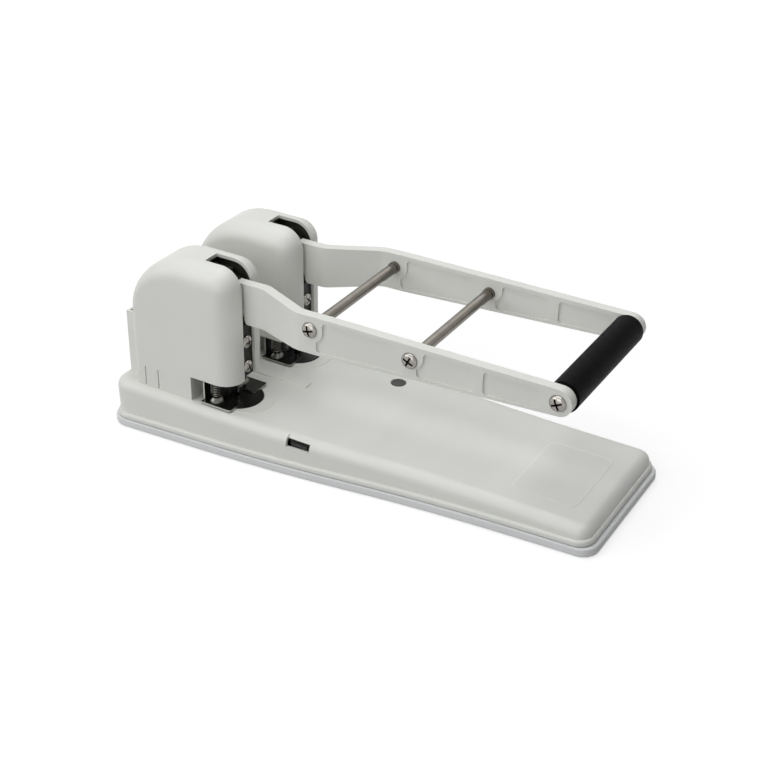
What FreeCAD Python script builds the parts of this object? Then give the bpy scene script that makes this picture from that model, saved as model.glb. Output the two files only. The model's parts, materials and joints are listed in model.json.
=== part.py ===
import FreeCAD, Part
import math
import os
import Sketcher

# Lever-operated heavy-duty two-hole paper punch.
#
# Row frame: the table is z = 0, +Z is up, +X points to the handle and the origin is the middle of
# the footprint. The bed slopes, so everything that stands on it is modelled in the bed's own frame:
# the origin lies on the bed midway between the two dies, x runs down the bed towards the handle
# and z is the bed's normal, along which the punches travel.

doc = FreeCAD.newDocument("paper_punch")
V = FreeCAD.Vector

SIZES = {
    # footprint, seen from above, at the foot of the tray
    "base_length": 404.0,
    "rear_width": 144.8,
    "front_width": 123.0,
    "taper_start": -116.0,
    "taper_end": 144.0,
    "rear_corner": 16.0,
    "front_corner": 12.0,
    # tray and cover
    "tray_height": 7.4,
    "tray_floor": 2.0,
    "tray_edge": 2.5,
    "side_setback": 2.5,
    "end_setback": 5.0,
    "seam_gap": 0.6,
    "lip_height": 4.4,
    "lip_reach": 2.0,
    "cover_wall": 2.5,
    "bed_wall": 3.0,
    "bed_round": 8.0,
    # the bed's place and slope
    "bed_from_rear": 105.5,
    "bed_z": 35.6,
    "bed_tilt": 2.8,
    # the two heads
    "hole_pitch": 80.0,
    "head_width": 47.3,
    "head_back": -80.5,
    "head_front": 10.5,
    "head_height": 111.0,
    "head_back_round": 48.0,
    "head_front_round": 16.5,
    "head_side_round": 15.0,
    "head_spine_round": 5.0,
    "head_wall": 2.5,
    "slot_width": 14.0,
    "slot_back": -21.0,
    "throat_back": -27.2,
    "throat_height": 20.0,
    "spine_depth": 14.0,
    "spine_width": 24.0,
    "spine_height": 52.0,
    "spine_wall": 1.8,
    "tongue_rear": -70.0,
    "tongue_front": -58.0,
    "tongue_height": 16.5,
    "tongue_slit": 0.8,
    # steel frame in each head
    "frame_back": -62.0,
    "frame_foot": 30.0,
    "frame_gap": 17.0,
    "frame_sheet": 3.0,
    "frame_nose": 6.0,
    "frame_nose_drop": 31.0,
    "frame_shoulder": 27.0,
    "frame_screw": 5.0,
    # lever pivot and cams
    "pivot_x": -20.0,
    "pivot_drop": 20.0,
    "pivot_radius": 4.0,
    "pivot_boss": 9.5,
    "lever_lift": 56.0,
    "cam_lead": 0.17,
    "cam_sheet": 1.6,
    "cam_front": 3.0,
    "rivet_x": -4.0,
    "rivet_rise": 2.0,
    "rivet_drop": 12.0,
    "rivet_radius": 2.0,
    "rivet_head": 3.2,
    # punches, dies and clamps
    "punch_radius": 3.0,
    "punch_reach": 2.5,
    "punch_head_radius": 6.6,
    "punch_head_thick": 5.0,
    "punch_spring_radius": 5.0,
    "punch_spring_wire": 1.2,
    "die_radius": 18.6,
    "die_proud": 0.8,
    "land_half": 19.6,
    "land_x": 8.5,
    "land_rise": 0.4,
    "rib_front": 36.0,
    "rib_width": 8.4,
    "rib_rise": 1.2,
    "guide_rear": -9.0,
    "guide_front": 7.0,
    "guide_drop": 33.0,
    "guide_shelf": 6.5,
    "guide_shelf_rear": -16.0,
    "pocket_floor": 40.0,
    "stud_x": -9.2,
    "stud_y": 16.4,
    "stud_radius": 2.0,
    "stud_top": 42.0,
    "stud_dome": 5.5,
    "stud_dome_height": 3.5,
    "stud_spring_radius": 3.0,
    "stud_spring_wire": 0.8,
    "lug_top": 38.0,
    "clamp_sheet": 1.2,
    "clamp_rear": -18.2,
    "clamp_front": 8.6,
    "clamp_corner": 2.0,
    "clamp_width": 48.4,
    "clamp_mouth": 15.5,
    "clamp_ear_height": 16.0,
    "plate_drop": 27.0,
    "plate_screw_low": 28.7,
    "plate_screw_high": 49.5,
    "plate_screw_head": 5.3,
    "plate_screw_height": 2.6,
    "plate_screw_shank": 2.0,
    "plate_screw_length": 2.2,
    # base plate
    "base_plate_back": -66.0,
    "base_plate_front": 26.0,
    "base_plate_margin": 10.4,
    "base_plate_sheet": 4.0,
    # lever arms and handle
    "arm_thick": 7.4,
    "arm_spread": 116.6,
    "arm_rise": 7.9,
    "crown_rise": 9.9,
    "arm_crown_x": 90.0,
    "inner_drop": 16.0,
    "under_drop": 24.8,
    "waist_drop": 19.6,
    "arm_waist_x": 84.0,
    "arm_bend_start": 27.0,
    "arm_bend_end": 67.0,
    "arm_bend_round": 18.0,
    "rod_one_x": 78.2,
    "rod_two_x": 157.6,
    "rod_drop": 1.0,
    "rod_radius": 4.0,
    "rod_collar": 4.6,
    "rod_collar_length": 3.0,
    "grip_x": 265.7,
    "grip_rise": 1.0,
    "grip_radius": 11.2,
    "grip_core": 6.0,
    "arm_end_radius": 9.8,
    "panel_depth": 1.5,
    "panel_rim": 3.1,
    "panel_foot": 2.1,
    "panel_corner": 3.0,
    "panel_break": 51.4,
    "panel_web": 6.4,
    "rod_land": 10.2,
    "arm_screw_radius": 6.0,
    "arm_screw_height": 3.0,
    "arm_screw_shank": 2.5,
    "arm_screw_reach": 8.0,
    # paper guide and plug
    "guide_bar_x": 69.9,
    "guide_bar_width": 17.4,
    "guide_bar_thick": 5.4,
    "guide_bar_end": 63.2,
    "guide_travel": 80.0,
    "guide_bar_kept": 41.2,
    "window_width": 19.4,
    "window_back": 64.2,
    "window_brow": 2.4,
    "guide_bar_inside": 58.0,
    "rail_sheet": 1.5,
    "plug_x": 91.3,
    "plug_y": 41.5,
    "plug_radius": 6.0,
    # clearances
    "gap": 0.3,
    "running_gap": 0.05,
    "screw_gap": 0.25,
}


class Size:
    """A length that knows both its number and the sheet expression that gives it."""

    def __init__(self, text, value):
        self.text = text
        self.value = float(value)

    def __float__(self):
        return self.value

    def __neg__(self):
        return Size("(-%s)" % self.text, -self.value)

    def __add__(self, other):
        return combine(self, "+", other, self.value + float(other))

    def __radd__(self, other):
        return combine(other, "+", self, float(other) + self.value)

    def __sub__(self, other):
        return combine(self, "-", other, self.value - float(other))

    def __rsub__(self, other):
        return combine(other, "-", self, float(other) - self.value)

    def __mul__(self, other):
        return combine(self, "*", other, self.value * float(other))

    __rmul__ = __mul__

    def __truediv__(self, other):
        return combine(self, "/", other, self.value / float(other))


def combine(left, sign, right, value):
    return Size("(%s %s %s)" % (words(left), sign, words(right)), value)


def words(item):
    return item.text if isinstance(item, Size) else repr(float(item))


sheet = doc.addObject("Spreadsheet::Sheet", "dims")
for row, (alias, value) in enumerate(SIZES.items(), start=1):
    sheet.set("A%d" % row, alias)
    sheet.set("B%d" % row, repr(value))
    sheet.setAlias("B%d" % row, alias)
doc.recompute()


class Sheet:
    """Each driving size as an attribute."""


d = Sheet()
for alias, value in SIZES.items():
    setattr(d, alias, Size("dims." + alias, value))

# heights and places that follow from another size
d.bed_x = d.bed_from_rear - d.base_length / 2
d.frame_foot_reach = d.head_width / 2 - d.head_wall - 0.75
d.guide_bar_length = d.guide_travel + d.guide_bar_kept
d.base_plate_width = d.rear_width - d.base_plate_margin * 2
d.pivot_z = d.head_height - d.pivot_drop
d.frame_nose_top = d.pivot_z - d.frame_nose_drop
d.guide_top = d.pivot_z - d.guide_drop
d.plate_top = d.pivot_z - d.plate_drop
d.arm_top = d.pivot_z + d.arm_rise
d.arm_crown = d.pivot_z + d.crown_rise
d.arm_under = d.pivot_z - d.under_drop
d.arm_waist = d.pivot_z - d.waist_drop
d.rod_z = d.pivot_z - d.rod_drop
d.grip_z = d.pivot_z + d.grip_rise

nodes = []


# ---------------------------------------------------------------- small modelling helpers
def new_body(name):
    return doc.addObject("PartDesign::Body", name)


def origin_plane(body, role):
    return next(item for item in body.Origin.OriginFeatures if item.Role == role)


def new_sketch(body, role, level=0.0):
    """A sketch on one of the body's own planes, moved along the plane's normal by level."""
    sketch = body.newObject("Sketcher::SketchObject", body.Name + "_sketch")
    sketch.AttachmentSupport = (origin_plane(body, role), [""])
    sketch.MapMode = "FlatFace"
    sketch.AttachmentOffset = FreeCAD.Placement(V(0, 0, float(level)), FreeCAD.Rotation())
    sketch.setExpression("AttachmentOffset.Base.z", words(level))
    return sketch


def place_point(sketch, geometry, corner, x, y):
    for kind, item in (("DistanceX", x), ("DistanceY", y)):
        index = sketch.addConstraint(Sketcher.Constraint(kind, -1, 1, geometry, corner, float(item)))
        sketch.setExpression("Constraints[%d]" % index, words(item))


def arc_between(start, end, radius):
    """The short arc of the given radius; positive has its centre left of the way to the end."""
    chord = end - start
    half = chord.Length / 2
    sink = math.sqrt(max(float(radius) ** 2 - half ** 2, 0.0))
    left = V(-chord.y, chord.x, 0).normalize()
    turn = 1 if float(radius) > 0 else -1
    centre = (start + end) / 2 + left * sink * turn
    middle = centre - left * abs(float(radius)) * turn
    return Part.Arc(start, middle, end)


def add_loop(sketch, corners):
    """A closed outline. A corner is (x, y), or (x, y, radius) where an arc arrives at it."""
    count = len(corners)
    spots = [V(float(c[0]), float(c[1]), 0) for c in corners]
    edges = []
    for number, corner in enumerate(corners):
        start, end = spots[number - 1], spots[number]
        if len(corner) == 3:
            edges.append(sketch.addGeometry(arc_between(start, end, corner[2]), False))
        else:
            edges.append(sketch.addGeometry(Part.LineSegment(start, end), False))

    def finish_of(number):
        return 1 if len(corners[number]) == 3 and float(corners[number][2]) < 0 else 2

    def start_of(number):
        return 3 - finish_of(number)

    for number in range(count):
        after = (number + 1) % count
        sketch.addConstraint(Sketcher.Constraint("Coincident", edges[number], finish_of(number),
                                                 edges[after], start_of(after)))
    for number, corner in enumerate(corners):
        place_point(sketch, edges[number], finish_of(number), corner[0], corner[1])
        if len(corner) == 3:
            radius = corner[2] if float(corner[2]) > 0 else -corner[2]
            index = sketch.addConstraint(Sketcher.Constraint("Radius", edges[number], float(radius)))
            sketch.setExpression("Constraints[%d]" % index, words(radius))
    return sketch


def add_circle(sketch, x, y, radius):
    circle = sketch.addGeometry(Part.Circle(V(float(x), float(y), 0), V(0, 0, 1), float(radius)), False)
    place_point(sketch, circle, 3, x, y)
    index = sketch.addConstraint(Sketcher.Constraint("Radius", circle, float(radius)))
    sketch.setExpression("Constraints[%d]" % index, words(radius))
    return sketch


def pad(sketch, length, both_ways=False, backwards=False):
    body = sketch.getParentGeoFeatureGroup()
    feature = body.newObject("PartDesign::Pad", body.Name + "_pad")
    feature.Profile = sketch
    feature.Length = float(length)
    feature.setExpression("Length", words(length))
    feature.Midplane = both_ways
    feature.Reversed = backwards
    return feature


def pocket(sketch, length, both_ways=False, backwards=False):
    body = sketch.getParentGeoFeatureGroup()
    feature = body.newObject("PartDesign::Pocket", body.Name + "_pocket")
    feature.Profile = sketch
    feature.Length = float(length)
    feature.setExpression("Length", words(length))
    feature.Midplane = both_ways
    feature.Reversed = backwards
    return feature


def box_corners(left, right, low, high):
    return [(left, low), (right, low), (right, high), (left, high)]


def fillet(body, test, radius, kind="PartDesign::Fillet"):
    """Round the edges of the body's tip whose middle point passes the test."""
    doc.recompute()
    tip = body.Tip
    names = []
    for number, edge in enumerate(tip.Shape.Edges, start=1):
        first, last = edge.ParameterRange
        if test(edge, edge.valueAt((first + last) / 2)):
            names.append("Edge%d" % number)
    if not names:
        raise ValueError("no edge to round on " + body.Name)
    feature = body.newObject(kind, body.Name + "_round")
    feature.Base = (tip, names)
    setting = "Radius" if kind.endswith("Fillet") else "Size"
    setattr(feature, setting, float(radius))
    feature.setExpression(setting, words(radius))
    return feature


def stand_on_bed(item, y=0.0):
    """Put an object that is modelled in the bed's frame into the row frame."""
    item.Placement = FreeCAD.Placement(V(float(d.bed_x), float(y), float(d.bed_z)),
                                       FreeCAD.Rotation(V(0, 1, 0), float(d.bed_tilt)))
    item.setExpression("Placement.Base.x", words(d.bed_x))
    item.setExpression("Placement.Base.y", words(y))
    item.setExpression("Placement.Base.z", words(d.bed_z))
    item.setExpression("Placement.Rotation.Angle", words(d.bed_tilt))


def keep(item, name):
    item.Label = name
    nodes.append(item)
    return item


def cut(base, tool, name):
    item = doc.addObject("Part::Cut", name)
    item.Base = base
    item.Tool = tool
    item.Refine = True
    return item


def fuse(items, name):
    item = doc.addObject("Part::MultiFuse", name)
    item.Shapes = items
    item.Refine = True
    return item


def group(items, name):
    """Separate solids of one kind that share a node."""
    item = doc.addObject("Part::Compound", name)
    item.Links = items
    return item


def turned(name, corners):
    """A body of revolution about its own z axis; corners are (radius, height)."""
    body = new_body(name)
    sketch = add_loop(new_sketch(body, "XZ_Plane"), corners)
    feature = body.newObject("PartDesign::Revolution", name + "_turn")
    feature.Profile = sketch
    feature.ReferenceAxis = (sketch, ["V_Axis"])
    feature.Angle = 360.0
    return body


def shift(item, x, y, z, turn=None):
    item.Placement = FreeCAD.Placement(V(float(x), float(y), float(z)), turn or FreeCAD.Rotation())
    for letter, value in zip("xyz", (x, y, z)):
        item.setExpression("Placement.Base." + letter, words(value))
    return item


HEADS = (("front", -1), ("rear", 1))


def head_y(side):
    return d.hole_pitch * (side / 2)


def stripe(name, corners, level, length):
    """A prism that stands on the xy plane at the given level."""
    body = new_body(name)
    pad(add_loop(new_sketch(body, "XY_Plane", level), corners), length)
    return body


def slab(name, corners, width):
    """A prism with the given side view, symmetrical about the xz plane."""
    body = new_body(name)
    pad(add_loop(new_sketch(body, "XZ_Plane"), corners), width, both_ways=True)
    return body


# ---------------------------------------------------------------- derived sizes
slope = Size("tan(dims.bed_tilt * 1 deg)", math.tan(math.radians(SIZES["bed_tilt"])))
lift = d.lever_lift * (math.pi / 180)
cam_base = -d.pivot_x
head_top = d.pivot_z - cam_base * (d.cam_lead + lift) - d.gap
head_under = head_top - d.punch_head_thick
seam = d.tray_height + d.seam_gap
plate_level = d.bed_wall + 0.1
clamp_level = d.die_proud + d.gap
clamp_face = clamp_level + d.clamp_sheet
stud_seat = clamp_face + d.stud_dome_height
shelf_low = d.frame_shoulder - d.guide_shelf
half_gap = d.frame_gap / 2
cheek_out = half_gap + d.frame_sheet
arm_inner = (d.arm_spread - d.arm_thick) / 2
arm_outer = (d.arm_spread + d.arm_thick) / 2
screw_seat = arm_outer


def bed_height(x):
    """Height of the bed's plane above the table at row x."""
    return d.bed_z - (x - d.bed_x) * slope


def plan(side, end, rear_corner, front_corner):
    """The footprint's outline, set in by side at its long sides and by end at its ends."""
    rear, front = end - d.base_length / 2, d.base_length / 2 - end
    rear_y, front_y = d.rear_width / 2 - side, d.front_width / 2 - side
    middle_x, middle_y = (d.taper_start + d.taper_end) / 2, (rear_y + front_y) / 2
    run, sink = (d.taper_end - d.taper_start) / 2, (rear_y - front_y) / 2
    sweep = (run * run + sink * sink) / (sink * 2)
    return [
        (rear + rear_corner, -rear_y, rear_corner),
        (d.taper_start, -rear_y),
        (middle_x, -middle_y, sweep),
        (d.taper_end, -front_y, -sweep),
        (front - front_corner, -front_y),
        (front, front_corner - front_y, front_corner),
        (front, front_y - front_corner),
        (front - front_corner, front_y, front_corner),
        (d.taper_end, front_y),
        (middle_x, middle_y, -sweep),
        (d.taper_start, rear_y, sweep),
        (rear + rear_corner, rear_y),
        (rear, rear_y - rear_corner, rear_corner),
        (rear, rear_corner - rear_y),
    ]


def shrunk_plan(inset):
    """The outline of the cover's wall, moved inwards by inset."""
    return plan(d.side_setback + inset, d.end_setback + inset,
                d.rear_corner - 3.0 - inset, d.front_corner - 2.0 - inset)


def level_edges(height):
    def test(edge, middle):
        return abs(middle.z - float(height)) < 0.01
    return test


# ---------------------------------------------------------------- tray and base
def chip_tray():
    body = new_body("chip_tray")
    pad(add_loop(new_sketch(body, "XY_Plane"), plan(0.0, 0.0, d.rear_corner, d.front_corner)),
        d.tray_height)
    fillet(body, level_edges(0.0), d.tray_edge)
    fillet(body, level_edges(d.tray_height), d.tray_edge * 0.6)
    inside = new_sketch(body, "XY_Plane", d.tray_floor)
    pocket(add_loop(inside, shrunk_plan(-d.gap)), d.tray_height, backwards=True)
    return keep(body, "chip_tray")


def above_bed(depth):
    """Side view of the space over a plane that lies depth below the bed."""
    far = d.base_length
    return [(-far, bed_height(-far) - depth), (far, bed_height(far) - depth),
            (far, far), (-far, far)]


def bed_body(name, inset, bottom, depth, round_top):
    """The cover's outline as a block whose top is the bed's plane, depth below the bed."""
    body = new_body(name)
    pad(add_loop(new_sketch(body, "XY_Plane", bottom), shrunk_plan(inset)), d.bed_z * 2)
    pocket(add_loop(new_sketch(body, "XZ_Plane"), above_bed(depth)), d.base_length, both_ways=True)

    def top_edge(edge, middle):
        return abs(middle.z - float(bed_height(middle.x) - depth)) < 0.01
    fillet(body, top_edge, round_top)
    return body


def base_cover():
    outside = bed_body("cover_outside", 0.0, d.tray_floor + d.gap, 0.0, d.bed_round)
    inside = bed_body("cover_inside", d.cover_wall, -d.tray_floor, d.bed_wall,
                      d.bed_round - d.cover_wall - 0.5)
    lip = new_body("cover_lip")
    reach = -d.lip_reach
    pad(add_loop(new_sketch(lip, "XY_Plane", seam), shrunk_plan(reach)), d.lip_height)
    fillet(lip, level_edges(seam + d.lip_height), d.lip_height * 0.45)
    fillet(lip, level_edges(seam), d.lip_height * 0.2)
    shell = cut(fuse([outside, lip], "cover_mass"), inside, "cover_shell")

    bores = new_body("cover_bores")
    drill = new_sketch(bores, "XY_Plane", -d.bed_wall * 2)
    for name, side in HEADS:
        add_circle(drill, 0.0, head_y(side), d.die_radius + 0.1)
        for x, y in frame_screw_spots():
            add_circle(drill, x, head_y(side) + y, d.frame_screw / 2 + d.screw_gap)
    add_circle(drill, d.plug_x, d.plug_y, d.plug_radius + 0.1)
    bores.AllowCompound = True
    pad(drill, d.bed_wall * 3)
    left = d.guide_bar_x - d.window_width / 2
    right = d.guide_bar_x + d.window_width / 2
    ceiling = bar_top() + d.gap
    window = stripe("cover_window", box_corners(left, right, -d.rear_width, -d.window_back),
                    rail_floor(), d.bed_wall - rail_floor())
    tunnel = stripe("cover_tunnel", box_corners(left, right, -d.rear_width, d.gap - d.guide_bar_inside),
                    rail_floor(), ceiling - rail_floor())
    brow = new_body("cover_window_brow")
    pad(add_loop(new_sketch(brow, "YZ_Plane", left), [
        (-d.rear_width, ceiling), (-d.window_back, ceiling), (d.window_brow - d.window_back, d.gap),
        (-d.rear_width, d.gap)]), d.window_width)
    for tool in (bores, window, tunnel, brow):
        stand_on_bed(tool)
    openings = fuse([bores, window, tunnel, brow], "cover_openings")
    opened = cut(shell, openings, "cover_opened")
    raised = [die_land(name, side) for name, side in HEADS]
    rib = stripe("bed_rib", box_corners(d.throat_back, d.rib_front, -d.rib_width / 2, d.rib_width / 2),
                 -0.5, d.rib_rise + 0.5)
    fillet(rib, level_edges(d.rib_rise), d.rib_rise * 0.75)
    stand_on_bed(rib)
    return keep(fuse([opened, rib] + raised, "base_cover"), "base_cover")


def die_land(name, side):
    """Low raised step on the bed, round the front of a die."""
    land = new_body(name + "_die_land")
    pad(add_loop(new_sketch(land, "XY_Plane", -0.5), [
        (-d.land_x, -d.land_half), (d.land_x, -d.land_half),
        (d.land_x + d.land_half, 0.0, d.land_half), (d.land_x, d.land_half, d.land_half),
        (-d.land_x, d.land_half)]), d.land_rise + 0.5)
    pocket(add_circle(new_sketch(land, "XY_Plane", -1.0), 0.0, 0.0, d.die_radius + 0.1),
           d.head_height, backwards=True)
    stand_on_bed(land, head_y(side))
    return land


def base_plate():
    body = new_body("base_plate")
    half = d.base_plate_width / 2
    sketch = new_sketch(body, "XY_Plane", -plate_level)
    add_loop(sketch, box_corners(d.base_plate_back, d.base_plate_front, -half, half))
    for name, side in HEADS:
        add_circle(sketch, 0.0, head_y(side), d.punch_radius + 2.0)
        for x, y in frame_screw_spots():
            add_circle(sketch, x, head_y(side) + y, d.frame_screw / 2 + d.screw_gap)
    pad(sketch, d.base_plate_sheet, backwards=True)

    def corner(edge, middle):
        return abs(abs(middle.y) - float(half)) < 0.01 and edge.Length < float(d.base_plate_sheet) + 0.1
    fillet(body, corner, d.base_plate_sheet * 1.5)
    stand_on_bed(body)
    return keep(body, "base_plate")


def bed_plug():
    body = new_body("bed_plug")
    pad(add_circle(new_sketch(body, "XY_Plane", -d.bed_wall), d.plug_x, d.plug_y, d.plug_radius),
        d.bed_wall - 0.4)
    stand_on_bed(body)
    return keep(body, "bed_plug")


# ---------------------------------------------------------------- paper guide
def bar_top():
    return -(plate_level + d.gap)


def bar_bottom():
    return bar_top() - d.guide_bar_thick


def rail_floor():
    return bar_bottom() - d.gap


def paper_guide():
    half = d.guide_bar_width / 2
    left, right = d.guide_bar_x - half, d.guide_bar_x + half
    bar = stripe("guide_bar", box_corners(left, right, -d.guide_bar_end,
                                          d.guide_bar_length - d.guide_bar_end),
                 bar_bottom(), d.guide_bar_thick)
    end = stripe("guide_end", box_corners(left + 2.0, right - 2.0, -d.guide_bar_end - 1.6,
                                          d.guide_bar_inside - d.guide_bar_end),
                 bar_bottom(), d.guide_bar_thick * 0.6)
    guide = fuse([bar, end], "paper_guide")
    stand_on_bed(guide)
    return keep(guide, "paper_guide")


def guide_rail():
    body = new_body("guide_rail")
    outer = d.guide_bar_width / 2 + d.gap + d.rail_sheet
    inner = d.guide_bar_width / 2 + d.gap
    low = rail_floor() - d.rail_sheet
    x = d.guide_bar_x
    pad(add_loop(new_sketch(body, "XZ_Plane"), [
        (x - outer, low), (x + outer, low), (x + outer, -plate_level), (x + inner, -plate_level),
        (x + inner, rail_floor()), (x - inner, rail_floor()), (x - inner, -plate_level),
        (x - outer, -plate_level)]), d.guide_bar_inside * 2, both_ways=True)
    stand_on_bed(body)
    return keep(body, "guide_rail")


# ---------------------------------------------------------------- dies, punches and clamps
def die(name, side):
    bore = d.punch_radius + 0.08
    relief = d.punch_radius + 1.0
    body = turned(name + "_die", [
        (bore, d.die_proud), (bore, -2.0), (relief, -2.0), (relief, -plate_level),
        (d.die_radius, -plate_level), (d.die_radius, d.die_proud - 0.5),
        (d.die_radius - 0.5, d.die_proud)])
    stand_on_bed(body, head_y(side))
    return keep(body, name + "_die")


def punch(name, side):
    pin = turned(name + "_punch_pin", [
        (0.0, 1.4 - d.punch_reach), (d.punch_radius, -d.punch_reach),
        (d.punch_radius, head_under), (0.0, head_under)])
    stand_on_bed(pin, head_y(side))
    keep(pin, name + "_punch_pin")
    cap = turned(name + "_punch_head", [
        (0.0, head_under), (d.punch_head_radius - 1.0, head_under),
        (d.punch_head_radius, head_under + 1.0), (d.punch_head_radius, head_top - 0.6),
        (d.punch_head_radius - 0.6, head_top), (0.0, head_top)])
    stand_on_bed(cap, head_y(side))
    keep(cap, name + "_punch_head")
    outer, inner = d.punch_spring_radius, d.punch_spring_radius - d.punch_spring_wire
    coil = turned(name + "_punch_spring", [
        (inner, d.pocket_floor + d.gap), (outer, d.pocket_floor + d.gap),
        (outer, head_under - d.gap), (inner, head_under - d.gap)])
    stand_on_bed(coil, head_y(side))
    keep(coil, name + "_punch_spring")


def clamp(name, side):
    half = d.clamp_width / 2
    mouth = d.clamp_mouth / 2
    body = new_body(name + "_clamp")
    outline = [
        (d.clamp_rear, -half), (d.clamp_front, -half), (d.clamp_front, -mouth),
        (-mouth + 1.5, -mouth), (-mouth + 1.5, mouth), (d.clamp_front, mouth),
        (d.clamp_front, half), (d.clamp_rear, half)]
    pad(add_loop(new_sketch(body, "XY_Plane", clamp_level), outline), d.clamp_sheet)
    ears = new_sketch(body, "XY_Plane", clamp_level)
    inner, outer = cheek_out + 1.5, d.head_width / 2 - d.head_wall - 0.65
    for low, high in ((inner, outer), (-outer, -inner)):
        add_loop(ears, box_corners(d.clamp_rear, d.clamp_rear + d.clamp_sheet, low, high))
    pad(ears, d.clamp_ear_height)

    def lobe_corner(edge, middle):
        upright = edge.Length < float(d.clamp_sheet) + 0.01 and abs(edge.tangentAt(0).z) > 0.9
        return upright and abs(middle.x - float(d.clamp_front)) < 0.01
    fillet(body, lobe_corner, d.clamp_corner)
    stand_on_bed(body, head_y(side))
    keep(body, name + "_clamp")

    studs, springs = [], []
    for hand in (-1, 1):
        tag = name + ("_left" if hand < 0 else "_right")
        stud = turned(tag + "_stud", [
            (0.0, clamp_face), (d.stud_dome, clamp_face), (d.stud_dome - 0.3, clamp_face + 1.2),
            (d.stud_dome - 2.0, stud_seat - 0.3), (d.stud_radius, stud_seat),
            (d.stud_radius, d.stud_top), (0.0, d.stud_top)])
        studs.append(shift(stud, d.stud_x, d.stud_y * hand, 0.0))
        outer, inner = d.stud_spring_radius, d.stud_spring_radius - d.stud_spring_wire
        low, high = stud_seat + d.gap, d.lug_top - 2.0 - d.gap
        coil = turned(tag + "_coil", [(inner, low), (outer, low), (outer, high), (inner, high)])
        springs.append(shift(coil, d.stud_x, d.stud_y * hand, 0.0))
    for items, node in ((studs, name + "_clamp_studs"), (springs, name + "_clamp_springs")):
        bundle = group(items, node)
        stand_on_bed(bundle, head_y(side))
        keep(bundle, node)


# ---------------------------------------------------------------- steel frame of a head
def frame_screw_spots():
    """Where the screws come up through a frame's feet, from the head's own middle plane."""
    reach = (cheek_out + d.frame_foot_reach) / 2 + 0.4
    rear, front = d.frame_back + 7.0, d.frame_back + d.frame_foot - 7.0
    return [(x, y) for x in (rear, front) for y in (-reach, reach)]


def head_frame(name, side):
    foot_front = d.frame_back + d.frame_foot
    crown = d.pivot_z + d.pivot_boss + 0.6
    body = slab(name + "_frame", [
        (d.frame_back, 0.0), (foot_front, 0.0), (foot_front, d.frame_shoulder),
        (d.frame_nose, d.frame_shoulder), (d.frame_nose, d.frame_nose_top),
        (d.pivot_x + 12.0, d.frame_nose_top + 10.0), (d.pivot_x + 10.0, crown),
        (d.pivot_x - 12.0, crown), (d.frame_back, d.frame_nose_top + 14.0)], cheek_out * 2)
    hollow = [(d.frame_back + d.frame_sheet, -1.0), (d.frame_back * -1, -1.0),
              (d.frame_back * -1, crown + 5.0), (d.frame_back + d.frame_sheet, crown + 5.0)]
    pocket(add_loop(new_sketch(body, "XZ_Plane"), hollow), d.frame_gap, both_ways=True)
    feet = new_sketch(body, "XY_Plane")
    for low, high in ((half_gap + 1.0, d.frame_foot_reach), (-d.frame_foot_reach, -half_gap - 1.0)):
        add_loop(feet, box_corners(d.frame_back, foot_front, low, high))
    pad(feet, d.frame_sheet)
    drill = new_sketch(body, "XY_Plane", -1.0)
    for x, y in frame_screw_spots():
        add_circle(drill, x, y, d.frame_screw / 2 + d.screw_gap)
    pocket(drill, d.frame_sheet + 2.0, backwards=True)
    pocket(add_circle(new_sketch(body, "XZ_Plane"), d.pivot_x, d.pivot_z, d.pivot_radius + 0.02),
           d.head_width, both_ways=True)

    def bend(edge, middle):
        across = abs(edge.tangentAt(0).y) > 0.9 and abs(edge.Length - float(d.frame_sheet)) < 0.01
        inside_corner = abs(middle.x - float(foot_front)) < 0.01
        return across and inside_corner and abs(middle.z - float(d.frame_shoulder)) < 0.01
    fillet(body, bend, 6.0)
    stand_on_bed(body, head_y(side))
    return keep(body, name + "_frame")


def guide_block(name, side):
    body = new_body(name + "_guide_block")
    wide = d.frame_foot_reach
    pad(add_loop(new_sketch(body, "XY_Plane", shelf_low),
                 box_corners(d.guide_shelf_rear, d.guide_front, -wide, wide)), d.guide_shelf)
    pad(add_loop(new_sketch(body, "XY_Plane", shelf_low),
                 box_corners(d.guide_rear, d.guide_front, -half_gap, half_gap)),
        d.guide_top - shelf_low)
    lugs = new_sketch(body, "XY_Plane", shelf_low)
    for low, high in ((cheek_out + 0.4, wide), (-wide, -cheek_out - 0.4)):
        add_loop(lugs, box_corners(d.stud_x - 4.6, d.stud_x + 4.6, low, high))
    pad(lugs, d.lug_top - shelf_low)
    pocket(add_circle(new_sketch(body, "XY_Plane"), 0.0, 0.0, d.punch_radius + d.running_gap),
           d.head_height, backwards=True)
    pocket(add_circle(new_sketch(body, "XY_Plane", d.pocket_floor), 0.0, 0.0,
                      d.punch_spring_radius + 0.5), d.head_height, backwards=True)
    stud_holes = new_sketch(body, "XY_Plane")
    spring_holes = new_sketch(body, "XY_Plane")
    for hand in (-1, 1):
        add_circle(stud_holes, d.stud_x, d.stud_y * hand, d.stud_radius + d.running_gap)
        add_circle(spring_holes, d.stud_x, d.stud_y * hand, d.stud_spring_radius + 0.4)
    pocket(stud_holes, d.head_height, backwards=True)
    pocket(spring_holes, d.lug_top - 2.0, backwards=True)
    face = new_sketch(body, "YZ_Plane", d.guide_front - 1.4)
    for height in (d.plate_screw_low, d.plate_screw_high):
        add_circle(face, 0.0, height, 2.0 + d.screw_gap)
    pocket(face, 3.0, backwards=True)

    def shelf_corner(edge, middle):
        on_front = abs(middle.x - float(d.guide_front)) < 0.01
        return on_front and abs(abs(middle.y) - float(wide)) < 0.01
    fillet(body, shelf_corner, d.head_side_round - d.head_wall - 1.5)
    stand_on_bed(body, head_y(side))
    return keep(body, name + "_guide_block")


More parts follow.
